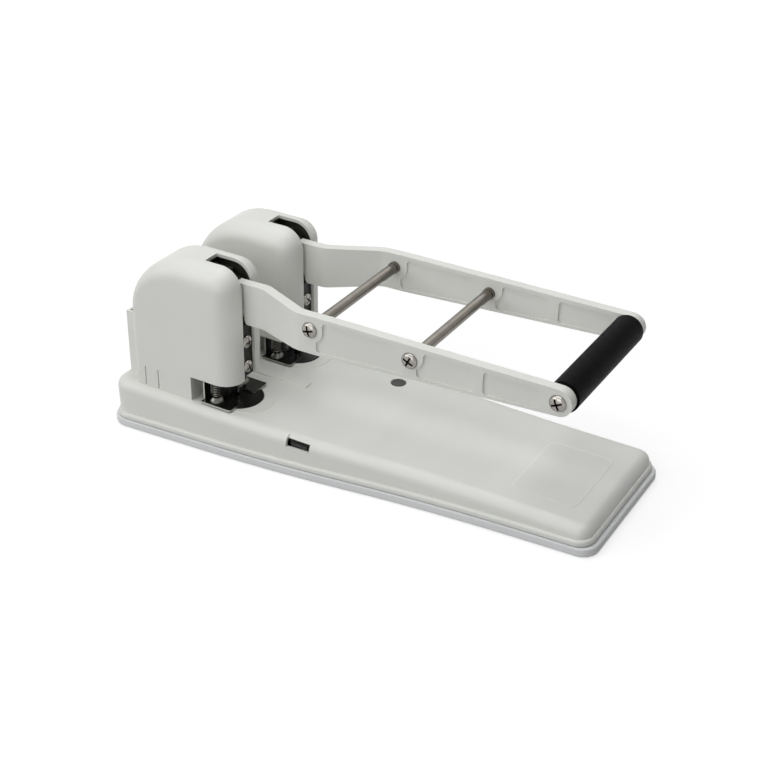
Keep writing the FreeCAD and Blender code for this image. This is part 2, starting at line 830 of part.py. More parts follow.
def slot_plate(name, side):
    body = new_body(name + "_slot_plate")
    half = d.slot_width / 2 + 1.6
    low, high = shelf_low + 0.5, d.plate_top
    sketch = new_sketch(body, "YZ_Plane", d.guide_front)
    add_loop(sketch, box_corners(-half, half, low, high))
    for height in (d.plate_screw_low, d.plate_screw_high):
        add_circle(sketch, 0.0, height, d.plate_screw_shank + d.screw_gap)
    pad(sketch, d.head_front - d.head_wall - d.guide_front)
    stand_on_bed(body, head_y(side))
    return keep(body, name + "_slot_plate")


def slot_plate_screws():
    screws = []
    face = d.head_front - d.head_wall
    plate_screw = pan_head(d.plate_screw_head, d.plate_screw_height, d.plate_screw_shank,
                           d.plate_screw_length)
    for name, side in HEADS:
        for tag, height in (("low", d.plate_screw_low), ("high", d.plate_screw_high)):
            screw = turned("%s_%s_plate_screw" % (name, tag), plate_screw)
            screws.append(shift(screw, face, head_y(side), height,
                                FreeCAD.Rotation(V(0, 1, 0), 90)))
    bundle = group(screws, "slot_plate_screws")
    stand_on_bed(bundle)
    return keep(bundle, "slot_plate_screws")


def pan_head(radius, height, shank, length):
    """Half section of a pan-head screw: its seat at 0, its head above and its shank below."""
    return [(0.0, height), (radius * 0.5, height * 0.97), (radius * 0.85, height * 0.72),
            (radius, height * 0.25), (radius, 0.0), (shank, 0.0), (shank, -length), (0.0, -length)]


def pivot_pin(name, side):
    body = new_body(name + "_pivot_pin")
    pad(add_circle(new_sketch(body, "XZ_Plane"), d.pivot_x, d.pivot_z, d.pivot_radius),
        cheek_out * 2 + 5.0, both_ways=True)
    stand_on_bed(body, head_y(side))
    return keep(body, name + "_pivot_pin")


def pivot_clips():
    clips = []
    for name, side in HEADS:
        for hand in (-1, 1):
            clip = new_body("%s_clip_%d" % (name, hand + 2))
            level = cheek_out + 0.6 if hand > 0 else -cheek_out - 0.6
            sketch = new_sketch(clip, "XZ_Plane", level)
            add_circle(sketch, d.pivot_x, d.pivot_z, d.pivot_radius + 2.2)
            add_circle(sketch, d.pivot_x, d.pivot_z, d.pivot_radius + 0.02)
            pad(sketch, 1.0, both_ways=True)
            clips.append(shift(clip, 0.0, head_y(side), 0.0))
    bundle = group(clips, "pivot_clips")
    stand_on_bed(bundle)
    return keep(bundle, "pivot_clips")


def frame_screws():
    screws = []
    for name, side in HEADS:
        for number, (x, y) in enumerate(frame_screw_spots()):
            seat = plate_level + d.base_plate_sheet
            half = d.frame_screw / 2
            screw = turned("%s_foot_screw_%d" % (name, number), [
                (0.0, -seat - 3.0), (half + 1.8, -seat - 3.0), (half + 1.8, -seat),
                (half, -seat), (half, d.frame_sheet + 1.5), (0.0, d.frame_sheet + 1.5)])
            screws.append(shift(screw, x, head_y(side) + y, 0.0))
    bundle = group(screws, "frame_screws")
    stand_on_bed(bundle)
    return keep(bundle, "frame_screws")


# ---------------------------------------------------------------- moulded head covers
def head_outline(inset, floor, corners_below):
    """Side view of a head, inset from its outside; corners_below close it underneath."""
    back, front = d.head_back + inset, d.head_front - inset
    top = d.head_height - inset
    back_round, front_round = d.head_back_round - inset, d.head_front_round - inset
    return corners_below + [
        (front, top - front_round), (front - front_round, top, front_round),
        (back + back_round, top), (back, top - back_round, back_round), (back, floor)]


def head_cover(name, side):
    outside = slab(name + "_head_outside",
                   head_outline(0.0, 0.0, [(d.head_front, 0.0)]), d.head_width)
    doc.recompute()
    rounded = doc.addObject("Part::Fillet", name + "_head_rounded")
    rounded.Base = outside
    rounded.Edges = side_rounds(outside.Shape)
    throat_wall = d.throat_back - d.head_wall
    cavity = new_body(name + "_head_cavity")
    ceiling = d.throat_height - 0.5
    corners = head_outline(d.head_wall, -1.0, [
        (throat_wall, -1.0), (throat_wall, ceiling), (d.head_front - d.head_wall, ceiling)])
    pad(add_loop(new_sketch(cavity, "XZ_Plane"), corners), d.head_width - d.head_wall * 2,
        both_ways=True)

    def outer_edge(edge, middle):
        on_side = abs(abs(middle.y) - float(d.head_width / 2 - d.head_wall)) < 0.01
        return on_side and middle.z > float(d.throat_height) + 0.5
    fillet(cavity, outer_edge, d.head_side_round - d.head_wall)
    throat = slab(name + "_throat", box_corners(d.throat_back, d.head_front + 5.0,
                                                -1.0, d.throat_height), d.head_width * 2)
    slot = slab(name + "_slot", box_corners(d.slot_back, d.head_front + 5.0,
                                            ceiling, d.head_height + 5.0), d.slot_width)
    slits = new_body(name + "_slits")
    slits.AllowCompound = True
    sketch = new_sketch(slits, "XZ_Plane")
    for x in (d.tongue_rear, d.tongue_front):
        half = d.tongue_slit / 2
        add_loop(sketch, box_corners(x - half, x + half, -1.0, d.tongue_height))
    pad(sketch, d.head_width * 2, both_ways=True)
    shell = cut(rounded, fuse([cavity, throat, slot, slits], name + "_head_openings"),
                name + "_head_shell")
    back = d.head_back - d.spine_depth
    half, wall = d.spine_width / 2, d.spine_wall
    spine = new_body(name + "_spine")
    pad(add_loop(new_sketch(spine, "XY_Plane"),
                 box_corners(back, d.head_back + d.head_wall / 2, -half, half)), d.spine_height)
    pocket(add_loop(new_sketch(spine, "XY_Plane"),
                    box_corners(back + wall, d.head_back, wall - half, half - wall)),
           d.spine_height, backwards=True)
    cover = fuse([shell, spine], name + "_head_cover")
    stand_on_bed(cover, head_y(side))
    return keep(cover, name + "_head_cover")


def side_rounds(shape):
    """Fillet list for a head: large over the top and front, easing to small down the back."""
    large, small = float(d.head_side_round), float(d.head_spine_round)
    half = float(d.head_width / 2)
    arc_foot = float(d.head_height - d.head_back_round)
    rounds = []
    for number, edge in enumerate(shape.Edges, start=1):
        first, last = edge.ParameterRange
        middle = edge.valueAt((first + last) / 2)
        if abs(abs(middle.y) - half) > 0.01 or middle.z < 0.01:
            continue
        on_back = middle.x < float(d.head_back) + 0.01
        on_back_arc = not on_back and middle.x < float(d.head_back + d.head_back_round) - 0.01
        start, end = edge.Vertexes[0].Point, edge.Vertexes[-1].Point
        if on_back:
            radii = (small, small)
        elif on_back_arc and middle.z > arc_foot:
            radii = (small, large) if start.z < end.z else (large, small)
        else:
            radii = (large, large)
        rounds.append((number, radii[0], radii[1]))
    return rounds


# ---------------------------------------------------------------- lever: arms, cams, rods and grip
def arm_underside(x):
    """Height of an arm's lower edge at x, between its waist and its rounded end."""
    rise = (d.grip_z - d.arm_end_radius - d.arm_waist) / (d.grip_x - d.arm_waist_x)
    return d.arm_waist + (x - d.arm_waist_x) * rise


def arm_crest(x):
    """Height of an arm's upper edge at x, between its crown and its rounded end."""
    rise = (d.grip_z + d.arm_end_radius - d.arm_crown) / (d.grip_x - d.arm_crown_x)
    return d.arm_crown + (x - d.arm_crown_x) * rise


def arm_side_view():
    inner = d.pivot_z - d.inner_drop
    return [
        (d.pivot_x, d.arm_top), (d.pivot_x, d.pivot_z - d.arm_rise),
        (d.pivot_x + 8.0, d.pivot_z - 11.0), (d.pivot_x + 14.0, inner),
        (d.head_front - 2.2, inner), (d.head_front - 0.6, d.arm_under + 2.8),
        (d.head_front + 2.2, d.arm_under, 2.8), (d.arm_bend_start, d.arm_under + 0.4),
        (d.arm_bend_end, d.arm_waist - 0.3), (d.arm_waist_x, d.arm_waist),
        (d.grip_x, arm_underside(d.grip_x)), (d.grip_x, arm_crest(d.grip_x)),
        (d.arm_crown_x, d.arm_crown), (10.0, d.arm_top)]


def arm_plan_view():
    """The front arm from above: straight in its head's slot, bent out, then straight."""
    inner, outer = -(d.hole_pitch - d.arm_thick) / 2, -(d.hole_pitch + d.arm_thick) / 2
    start, end, mitre = d.arm_bend_start, d.arm_bend_end, d.arm_thick * 0.11
    rear, front = d.pivot_x - d.pivot_boss - 1.0, d.grip_x + d.arm_end_radius + 1.0
    return [
        (rear, outer), (start - mitre, outer), (end - mitre, -arm_outer), (front, -arm_outer),
        (front, -arm_inner), (end + mitre, -arm_inner), (start + mitre, inner), (rear, inner)]


def panel_floor(x):
    return arm_underside(x) + d.panel_foot


def panel_ceiling(x):
    return arm_crest(x) - d.panel_rim


def land_edge(rod, hand):
    """A panel's end beside a rod: the low and high ends of the arc that runs round the screw."""
    low_x, high_x = rod + d.rod_land * (hand * 0.5), rod + d.rod_land * (hand * 0.98)
    deep = panel_ceiling(low_x) - panel_floor(low_x)
    return (low_x, panel_floor(low_x) + deep * 0.34), (high_x, panel_floor(low_x) + deep * 0.78)


def panel_outlines():
    """The three panels; each is its corners from the lower left one, against the clock."""
    outlines = []
    for rod in (d.rod_one_x, d.rod_two_x):
        low, high = land_edge(rod, 1)
        near_end = [(high[0], panel_ceiling(high[0])), high, low + (-d.rod_land,)]
        if rod is d.rod_one_x:
            stop, peak = land_edge(d.rod_two_x, -1)
            far_end = [(stop[0], panel_floor(stop[0])), stop, peak + (-d.rod_land,),
                       (peak[0], panel_ceiling(peak[0]))]
        else:
            right = rod + d.panel_break - d.panel_web / 2
            far_end = [(right, panel_floor(right)), (right, panel_ceiling(right))]
        outlines.append([(low[0], panel_floor(low[0]))] + far_end + near_end)
    left = d.rod_two_x + d.panel_break + d.panel_web / 2
    foot, head = d.grip_x - d.arm_end_radius * 1.18, d.grip_x - d.arm_end_radius * 1.04
    outlines.append([(left, panel_floor(left)), (foot, panel_floor(foot)),
                     (head, panel_ceiling(head), d.arm_end_radius * -2.4), (left, panel_ceiling(left))])
    return outlines


def arm_panels(level, backwards, name):
    """The three shallow panels that lighten a face of the front arm."""
    panels = []
    for number, outline in enumerate(panel_outlines()):
        body = new_body("%s_%d" % (name, number + 1))
        pad(add_loop(new_sketch(body, "XZ_Plane", level), outline), d.panel_depth,
            backwards=backwards)
        sharp = [(float(spot[0]), float(spot[1])) for spot in outline]

        def corner(edge, middle):
            x, z = middle.x, middle.z
            ends = min(abs(z - float(panel_floor(x))), abs(z - float(panel_ceiling(x)))) < 0.01
            return ends and any(abs(x - a) + abs(z - b) < 0.01 for a, b in sharp)
        fillet(body, corner, d.panel_corner)
        panels.append(body)
    return panels


def rivet_spots():
    return [(d.rivet_x, d.pivot_z + d.rivet_rise), (d.rivet_x, d.pivot_z - d.rivet_drop)]


def front_arm():
    view = slab("arm_side_view", arm_side_view(), d.rear_width)
    for x, z, radius in ((d.pivot_x, d.pivot_z, d.arm_rise),
                         (d.grip_x, d.grip_z, d.arm_end_radius)):
        pad(add_circle(new_sketch(view, "XZ_Plane"), x, z, radius), d.rear_width, both_ways=True)
    holes = [(d.pivot_x, d.pivot_z, d.pivot_radius + d.running_gap)]
    holes += [(x, z, d.arm_screw_shank + d.screw_gap) for x, z in arm_screw_spots()]
    holes += [(x, z, d.rivet_radius + 0.02) for x, z in rivet_spots()]
    for x, z, radius in holes:
        pocket(add_circle(new_sketch(view, "XZ_Plane"), x, z, radius), d.rear_width, both_ways=True)
    ground = stripe("arm_plan_view", arm_plan_view(), 0.0, d.head_height * 1.2)

    def bend(edge, middle):
        upright = abs(edge.tangentAt(0).z) > 0.9
        return upright and float(d.arm_bend_start) - 3 < middle.x < float(d.arm_bend_end) + 3
    fillet(ground, bend, d.arm_bend_round)
    blank = doc.addObject("Part::Common", "arm_blank")
    blank.Base = view
    blank.Tool = ground
    panels = arm_panels(arm_outer, True, "outer_panel") + arm_panels(arm_inner, False, "inner_panel")
    arm = cut(blank, fuse(panels, "arm_panels"), "front_arm")
    stand_on_bed(arm)
    return keep(arm, "front_arm")


def rear_arm(front):
    item = doc.addObject("Part::Mirroring", "rear_arm")
    item.Source = front
    item.Normal = V(0, 1, 0)
    return keep(item, "rear_arm")


def involute(turn):
    """A point of the cam's edge, in the lever's frame: what touches the punch head at this lift."""
    base = float(cam_base)
    reach = base * (float(d.cam_lead + lift) - turn)
    return V(float(d.pivot_x) + base * math.cos(turn) - reach * math.sin(turn), 0,
             float(d.pivot_z) - base * math.sin(turn) - reach * math.cos(turn))


def cam(name, side):
    """Steel channel over an arm's inner end; its cheeks carry the involute that drives the punch."""
    steps = 8
    full = float(lift)
    edge = Part.BSplineCurve()
    edge.interpolate([involute(full * number / steps) for number in range(steps + 1)])
    top = float(d.arm_top + d.cam_sheet)
    radius = top - float(d.pivot_z)
    px, pz, front = float(d.pivot_x), float(d.pivot_z), float(d.cam_front)
    contact, last = involute(0.0), involute(full)
    slant = last + V(-math.cos(full), 0, math.sin(full)) * float(d.punch_head_radius + 1.0)
    crown, tail = V(px, 0, top), V(px - radius, 0, pz)
    heel = V(px - radius * 0.7071, 0, pz - radius * 0.7071)
    wire = Part.Wire([
        Part.LineSegment(contact, V(front, 0, contact.z)).toShape(),
        Part.LineSegment(V(front, 0, contact.z), V(front, 0, top)).toShape(),
        Part.LineSegment(V(front, 0, top), crown).toShape(),
        Part.Arc(crown, V(px - radius * 0.7071, 0, pz + radius * 0.7071), tail).toShape(),
        Part.Arc(tail, V(px - radius * 0.9239, 0, pz - radius * 0.3827), heel).toShape(),
        Part.LineSegment(heel, slant).toShape(),
        Part.LineSegment(slant, last).toShape(),
        edge.toShape(),
    ])
    half = float(d.arm_thick / 2)
    outer = half + float(d.cam_sheet)
    block = Part.Face(wire).extrude(V(0, outer * 2, 0))
    block.translate(V(0, -outer, 0))
    reach = float(d.head_height) * 2
    inside = Part.makeBox(reach * 2, half * 2, reach, V(-reach, -half, top - float(d.cam_sheet) - reach))
    shape = block.cut(inside)
    holes = [(d.pivot_x, d.pivot_z, d.pivot_radius + d.running_gap)]
    holes += [(x, z, d.rivet_radius + 0.02) for x, z in rivet_spots()]
    for x, z, hole in holes:
        shape = shape.cut(Part.makeCylinder(float(hole), outer * 4, V(float(x), -outer * 2, float(z)),
                                            V(0, 1, 0)))
    item = doc.addObject("Part::Feature", name + "_cam")
    item.Shape = shape
    stand_on_bed(item, head_y(side))
    return keep(item, name + "_cam")


def cam_rivets():
    rivets = []
    reach = d.arm_thick / 2 + d.cam_sheet
    for name, side in HEADS:
        for number, (x, z) in enumerate(rivet_spots()):
            rivet = turned("%s_rivet_%d" % (name, number), [
                (0.0, -reach - 0.8), (d.rivet_head - 0.6, -reach - 0.8), (d.rivet_head, -reach),
                (d.rivet_radius, -reach), (d.rivet_radius, reach), (d.rivet_head, reach),
                (d.rivet_head - 0.6, reach + 0.8), (0.0, reach + 0.8)])
            rivets.append(shift(rivet, x, head_y(side), z, FreeCAD.Rotation(V(1, 0, 0), 90)))
    bundle = group(rivets, "cam_rivets")
    stand_on_bed(bundle)
    return keep(bundle, "cam_rivets")


def tie_rod(name, x):
    body = new_body(name)
    pad(add_circle(new_sketch(body, "XZ_Plane"), x, d.rod_z, d.rod_radius), arm_inner * 2,
        both_ways=True)
    for level, backwards in ((arm_inner, True), (-arm_inner, False)):
        pad(add_circle(new_sketch(body, "XZ_Plane", level), x, d.rod_z, d.rod_collar),
            d.rod_collar_length, backwards=backwards)
        pocket(add_circle(new_sketch(body, "XZ_Plane", level), x, d.rod_z, d.arm_screw_shank + 0.02),
               d.arm_screw_reach + 1.0, backwards=not backwards)
    stand_on_bed(body)
    return keep(body, name)


def handle_core():
    body = new_body("handle_core")
    pad(add_circle(new_sketch(body, "XZ_Plane"), d.grip_x, d.grip_z, d.grip_core), arm_inner * 2,
        both_ways=True)
    for level, backwards in ((arm_inner, False), (-arm_inner, True)):
        hole = new_sketch(body, "XZ_Plane", level)
        pocket(add_circle(hole, d.grip_x, d.grip_z, d.arm_screw_shank + 0.02),
               d.arm_screw_reach + 1.0, backwards=backwards)
    stand_on_bed(body)
    return keep(body, "handle_core")


def grip():
    body = new_body("grip")
    sketch = new_sketch(body, "XZ_Plane")
    add_circle(sketch, d.grip_x, d.grip_z, d.grip_radius)
    add_circle(sketch, d.grip_x, d.grip_z, d.grip_core + 0.05)
    pad(sketch, (arm_inner - d.gap) * 2, both_ways=True)

    def rim(edge, middle):
        return edge.Closed and abs(edge.Curve.Radius - float(d.grip_radius)) < 0.01
    fillet(body, rim, 0.8)
    stand_on_bed(body)
    return keep(body, "grip")


def arm_screw_spots():
    return [(d.rod_one_x, d.rod_z), (d.rod_two_x, d.rod_z), (d.grip_x, d.grip_z)]


def arm_screws():
    screws = []
    for hand in (-1, 1):
        for number, (x, z) in enumerate(arm_screw_spots()):
            screw = turned("arm_screw_%d_%d" % (hand + 2, number),
                           pan_head(d.arm_screw_radius, d.arm_screw_height, d.arm_screw_shank,
                                    d.arm_thick + d.arm_screw_reach))
            screws.append(shift(screw, x, screw_seat * hand, z,
                                FreeCAD.Rotation(V(1, 0, 0), -90 * hand)))
    bundle = group(screws, "arm_screws")
    stand_on_bed(bundle)
    return keep(bundle, "arm_screws")


# ---------------------------------------------------------------- the whole punch
chip_tray()
base_cover()
base_plate()
bed_plug()
paper_guide()
guide_rail()
for head, side in HEADS:
    head_frame(head, side)
    guide_block(head, side)
    slot_plate(head, side)
    pivot_pin(head, side)
    head_cover(head, side)
    die(head, side)
    punch(head, side)
    clamp(head, side)
    cam(head, side)
slot_plate_screws()
pivot_clips()
frame_screws()
rear_arm(front_arm())
cam_rivets()
tie_rod("inner_tie_rod", d.rod_one_x)
tie_rod("outer_tie_rod", d.rod_two_x)
handle_core()
grip()
arm_screws()
doc.recompute()

faults = [item.Name for item in doc.Objects
          if "Invalid" in item.State or "Error" in item.State]
for item in nodes:
    shape = item.Shape
    if shape.isNull() or not shape.isValid() or not shape.Solids:
        faults.append(item.Label)
if faults:
    raise RuntimeError("these did not build: " + ", ".join(faults))

os.makedirs("parts", exist_ok=True)
for item in nodes:
    item.Shape.exportStep("parts/%s.step" % item.Label)
print("%d nodes written" % len(nodes))
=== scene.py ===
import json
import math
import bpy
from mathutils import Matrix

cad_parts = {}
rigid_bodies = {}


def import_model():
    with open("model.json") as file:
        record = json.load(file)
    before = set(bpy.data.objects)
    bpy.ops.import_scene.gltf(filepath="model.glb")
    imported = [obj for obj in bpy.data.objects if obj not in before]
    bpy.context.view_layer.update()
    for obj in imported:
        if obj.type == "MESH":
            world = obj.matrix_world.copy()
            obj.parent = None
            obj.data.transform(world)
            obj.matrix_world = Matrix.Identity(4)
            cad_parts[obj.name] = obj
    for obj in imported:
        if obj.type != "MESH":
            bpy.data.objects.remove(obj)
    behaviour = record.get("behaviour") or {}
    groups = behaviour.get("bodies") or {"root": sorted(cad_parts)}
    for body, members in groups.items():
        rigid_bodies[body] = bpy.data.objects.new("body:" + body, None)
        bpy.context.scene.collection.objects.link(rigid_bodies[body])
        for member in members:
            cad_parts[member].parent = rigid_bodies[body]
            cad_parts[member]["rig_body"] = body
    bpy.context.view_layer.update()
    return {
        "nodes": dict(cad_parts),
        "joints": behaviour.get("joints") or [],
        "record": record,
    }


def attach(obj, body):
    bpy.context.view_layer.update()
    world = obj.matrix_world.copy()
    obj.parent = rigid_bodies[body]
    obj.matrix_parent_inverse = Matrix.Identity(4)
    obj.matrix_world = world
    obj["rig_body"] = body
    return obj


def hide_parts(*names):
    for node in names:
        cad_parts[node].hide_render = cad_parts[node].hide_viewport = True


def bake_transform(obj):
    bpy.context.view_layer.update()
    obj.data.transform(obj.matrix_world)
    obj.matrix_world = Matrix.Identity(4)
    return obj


bl_info = {
    "name": "Lever paper punch",
    "version": (1, 0, 0),
    "blender": (4, 5, 0),
    "location": "3D View > Sidebar > Punch",
    "description": "Finishes and fine parts of a heavy-duty two-hole lever paper punch",
    "category": "Object",
}

import bmesh
import bpy
from bpy.props import FloatProperty, FloatVectorProperty, IntProperty, PointerProperty
from mathutils import Matrix, Vector

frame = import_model()
MM = 0.001
FULL_TURN = 2 * math.pi
QUARTER_TURN = math.pi / 2
CENTRE = (0, 0, 0)
WELD = 0.0005  # points nearer than this, in millimetres, are one


def joint(name):
    return next(item for item in frame["joints"] if item["name"] == name)


# The bed slopes towards the grip. BED places a point given in the bed's own millimetre frame, whose
# origin lies on the bed midway between the dies, x down the bed and z along the punches. All the
# sizes and places below are in that frame, unless they say otherwise.
PIVOT_X, PIVOT_Z = -20.0, 91.0
LIFT = Vector(joint("front_punch_slide")["axis"])
BED = (
    Matrix.Translation(joint("lever_hinge")["pos_m"])
    @ Matrix.Rotation(math.atan2(LIFT.x, LIFT.z), 4, "Y")
    @ Matrix.Diagonal((MM, MM, MM, 1.0))
    @ Matrix.Translation((-PIVOT_X, 0.0, -PIVOT_Z))
)

HEADS = (("front", -40.0), ("rear", 40.0))  # each head, and where its punch stands across the bed
RODS = ((78.2, 90.0), (157.6, 90.0))  # x and z of the two tie rods
GRIP = (265.7, 92.0)  # x and z of the grip's core
ARM_FACE = 62.0  # from the middle to each arm's outer face


# ---------------------------------------------------------------- node trees
def linear(text):
    """An sRGB hex colour as the linear RGBA that shaders take."""
    channels = [int(text[i:i + 2], 16) / 255 for i in (1, 3, 5)]
    return tuple(c / 12.92 if c <= 0.04045 else ((c + 0.055) / 1.055) ** 2.4
                 for c in channels) + (1.0,)


def grey(value):
    return (value, value, value, 1.0)


def darker(colour, share):
    return tuple(c * share for c in colour[:3]) + (1.0,)


def add(tree, kind, values=None, links=None, **settings):
    """Adds one node, with its settings, its input values and what feeds its inputs."""
    node = tree.nodes.new(kind)
    for key, value in settings.items():
        setattr(node, key, value)
    for key, value in (values or {}).items():
        node.inputs[key].default_value = value
    for key, socket in (links or {}).items():
        tree.links.new(socket, node.inputs[key])
    return node


def start_material(name):
    """An empty material: its node tree, and the object's coordinates in millimetres."""
    material = bpy.data.materials.new(name)
    material.use_nodes = True
    tree = material.node_tree
    tree.nodes.clear()
    place = add(tree, "ShaderNodeTexCoord")
    scaled = add(tree, "ShaderNodeMapping", {"Scale": (1 / MM, 1 / MM, 1 / MM)},
                 {"Vector": place.outputs["Object"]})
    return material, tree, scaled.outputs["Vector"]


def shade(tree, place, size, detail, low, high):
    """Cloudy noise with features of the given size in millimetres, ramped between two colours.
    The noise seldom leaves 0.35 to 0.65, so that span takes the whole ramp."""
    noise = add(tree, "ShaderNodeTexNoise", {"Scale": 1 / size, "Detail": detail},
                {"Vector": place})
    ramp = add(tree, "ShaderNodeValToRGB", None, {"Fac": noise.outputs["Fac"]})
    for stop, position, colour in zip(ramp.color_ramp.elements, (0.35, 0.65), (low, high)):
        stop.position, stop.color = position, colour
    return ramp.outputs["Color"]


def moulded_abs(name, colour, grain, rough, drift=0.97):
    """Injection-moulded ABS: opaque, with a soft highlight from the fine even grain of a
    spark-eroded mould. The real grain is about 0.1 mm across and is drawn several times coarser,
    so that it shows. The tone drifts a little over the length of a moulding."""
    material, tree, place = start_material(name)
    tone = shade(tree, place, 60.0, 2.0, darker(colour, drift), colour)
    gloss = shade(tree, place, 14.0, 3.0, grey(rough - 0.05), grey(rough + 0.06))
    pits = add(tree, "ShaderNodeTexNoise", {"Scale": 1 / grain, "Detail": 2.0}, {"Vector": place})
    bump = add(tree, "ShaderNodeBump", {"Strength": 0.12, "Distance": 0.05 * MM},
               {"Height": pits.outputs["Fac"]})
    shader = add(tree, "ShaderNodeBsdfPrincipled", {"IOR": 1.54},
                 {"Base Color": tone, "Roughness": gloss, "Normal": bump.outputs["Normal"]})
    add(tree, "ShaderNodeOutputMaterial", None, {"Surface": shader.outputs["BSDF"]})
    return material


def metal(name, colour, rough, streak, mark, depth):
    """Worked steel, with tool marks of the given width and depth in millimetres. streak stretches
    them: a low share on one axis draws them long, as a die draws a rod or a belt brushes a sheet.
    The marks are drawn a few times wider than real ones, so that they show."""
    material, tree, place = start_material(name)
    stretched = add(tree, "ShaderNodeMapping", {"Scale": streak}, {"Vector": place})
    marks = add(tree, "ShaderNodeTexNoise", {"Scale": 1 / mark, "Detail": 4.0},
                {"Vector": stretched.outputs["Vector"]})
    tone = shade(tree, place, 9.0, 3.0, darker(colour, 0.86), colour)
    gloss = add(tree, "ShaderNodeMapRange", {"To Min": rough * 0.75, "To Max": rough * 1.3},
                {"Value": marks.outputs["Fac"]})
    bump = add(tree, "ShaderNodeBump", {"Strength": 0.25, "Distance": depth * MM},
               {"Height": marks.outputs["Fac"]})
    shader = add(tree, "ShaderNodeBsdfPrincipled", {"Metallic": 1.0},
                 {"Base Color": tone, "Roughness": gloss.outputs["Result"],
                  "Normal": bump.outputs["Normal"]})
    add(tree, "ShaderNodeOutputMaterial", None, {"Surface": shader.outputs["BSDF"]})
    return material


def black_oxide(name):
    """Steel blackened in a hot oxide bath and oiled: near black, with a soft oily highlight and
    slightly paler patches where the bath took less."""
    material, tree, place = start_material(name)
    tone = shade(tree, place, 6.0, 4.0, linear("#0B0B09"), linear("#121210"))
    gloss = shade(tree, place, 2.5, 4.0, grey(0.30), grey(0.38))
    shader = add(tree, "ShaderNodeBsdfPrincipled", {"IOR": 1.5, "Specular IOR Level": 0.18},
                 {"Base Color": tone, "Roughness": gloss})
    add(tree, "ShaderNodeOutputMaterial", None, {"Surface": shader.outputs["BSDF"]})
    return material


def phosphated(name):
    """Steel plate with an oiled zinc phosphate coat: olive grey and hardly glossy. Its crystal
    bloom is far too fine to see and is drawn about 1 mm across, so that it shows."""
    material, tree, place = start_material(name)
    tone = shade(tree, place, 7.0, 5.0, linear("#66675D"), linear("#747569"))
    gloss = shade(tree, place, 1.2, 3.0, grey(0.40), grey(0.52))
    shader = add(tree, "ShaderNodeBsdfPrincipled", {"IOR": 1.5},
                 {"Base Color": tone, "Roughness": gloss})
    add(tree, "ShaderNodeOutputMaterial", None, {"Surface": shader.outputs["BSDF"]})
    return material


def sheared_strip(name, foot_end):
    """Strip steel blackened in the coil, then sheared and bent: both faces keep the dark skin, and
    the cut edges are bare bright steel. They look across the bed, or down it past foot_end."""
    material, tree, place = start_material(name)
    object_space = add(tree, "ShaderNodeTexCoord")
    turn = add(tree, "ShaderNodeSeparateXYZ", None, {"Vector": object_space.outputs["Normal"]})
    spot = add(tree, "ShaderNodeSeparateXYZ", None, {"Vector": place})
    across = add(tree, "ShaderNodeMath", None, {0: turn.outputs["Y"]}, operation="ABSOLUTE")
    side_cut = add(tree, "ShaderNodeMath", {1: 0.5}, {0: across.outputs["Value"]},
                   operation="GREATER_THAN")
    ahead = add(tree, "ShaderNodeMath", {1: 0.5}, {0: turn.outputs["X"]},
                operation="GREATER_THAN")
    at_foot = add(tree, "ShaderNodeMath", {1: foot_end}, {0: spot.outputs["X"]},
                  operation="GREATER_THAN")
    end_cut = add(tree, "ShaderNodeMath", None,
                  {0: ahead.outputs["Value"], 1: at_foot.outputs["Value"]}, operation="MULTIPLY")
    cut = add(tree, "ShaderNodeMath", None,
              {0: side_cut.outputs["Value"], 1: end_cut.outputs["Value"]}, operation="MAXIMUM")
    skin = shade(tree, place, 5.0, 3.0, linear("#0D0D0C"), linear("#191917"))
    # a colour Mix node takes its share at input 0 and its colours at 6 and 7, and gives output 2
    tone = add(tree, "ShaderNodeMix", {7: linear("#A9A8A3")}, {0: cut.outputs["Value"], 6: skin},
               data_type="RGBA")
    gloss = add(tree, "ShaderNodeMapRange", {"To Min": 0.2, "To Max": 0.3},
                {"Value": cut.outputs["Value"]})
    shader = add(tree, "ShaderNodeBsdfPrincipled", {"IOR": 1.5},
                 {"Base Color": tone.outputs[2], "Metallic": cut.outputs["Value"],
                  "Roughness": gloss.outputs["Result"]})
    add(tree, "ShaderNodeOutputMaterial", None, {"Surface": shader.outputs["BSDF"]})
    return material


def sleeve_rubber(name):
    """Extruded rubber sleeve: dense with carbon black, so hardly any light comes back. The pits of
    its skin are drawn 0.7 mm across, coarser than real ones, so that they show."""
    material, tree, place = start_material(name)
    tone = shade(tree, place, 5.0, 5.0, linear("#030303"), linear("#070708"))
    gloss = shade(tree, place, 3.0, 4.0, grey(0.40), grey(0.50))
    pits = add(tree, "ShaderNodeTexNoise", {"Scale": 1 / 0.7, "Detail": 3.0}, {"Vector": place})
    bump = add(tree, "ShaderNodeBump", {"Strength": 0.3, "Distance": 0.06 * MM},
               {"Height": pits.outputs["Fac"]})
    shader = add(tree, "ShaderNodeBsdfPrincipled", {"IOR": 1.52, "Specular IOR Level": 0.02},
                 {"Base Color": tone, "Roughness": gloss, "Normal": bump.outputs["Normal"]})
    add(tree, "ShaderNodeOutputMaterial", None, {"Surface": shader.outputs["BSDF"]})
    return material


# ---------------------------------------------------------------- mesh helpers
def make_piece(name, bm, material):
    """Turns a bmesh drawn in the bed's millimetres into an object that sits at the origin."""
    bmesh.ops.remove_doubles(bm, verts=bm.verts, dist=WELD)
    bmesh.ops.recalc_face_normals(bm, faces=bm.faces)
    bm.transform(BED)
    mesh = bpy.data.meshes.new(name)
    bm.to_mesh(mesh)
    bm.free()
    mesh.materials.append(material)
    piece = bpy.data.objects.new(name, mesh)
    bpy.context.scene.collection.objects.link(piece)
    return piece


def smooth(mesh):
    mesh.polygons.foreach_set("use_smooth", [True] * len(mesh.polygons))


def soften(mesh, crease):
    """Smooth shading, with edges that turn by more than crease degrees kept crisp."""
    smooth(mesh)
    mesh.set_sharp_from_angle(angle=math.radians(crease))


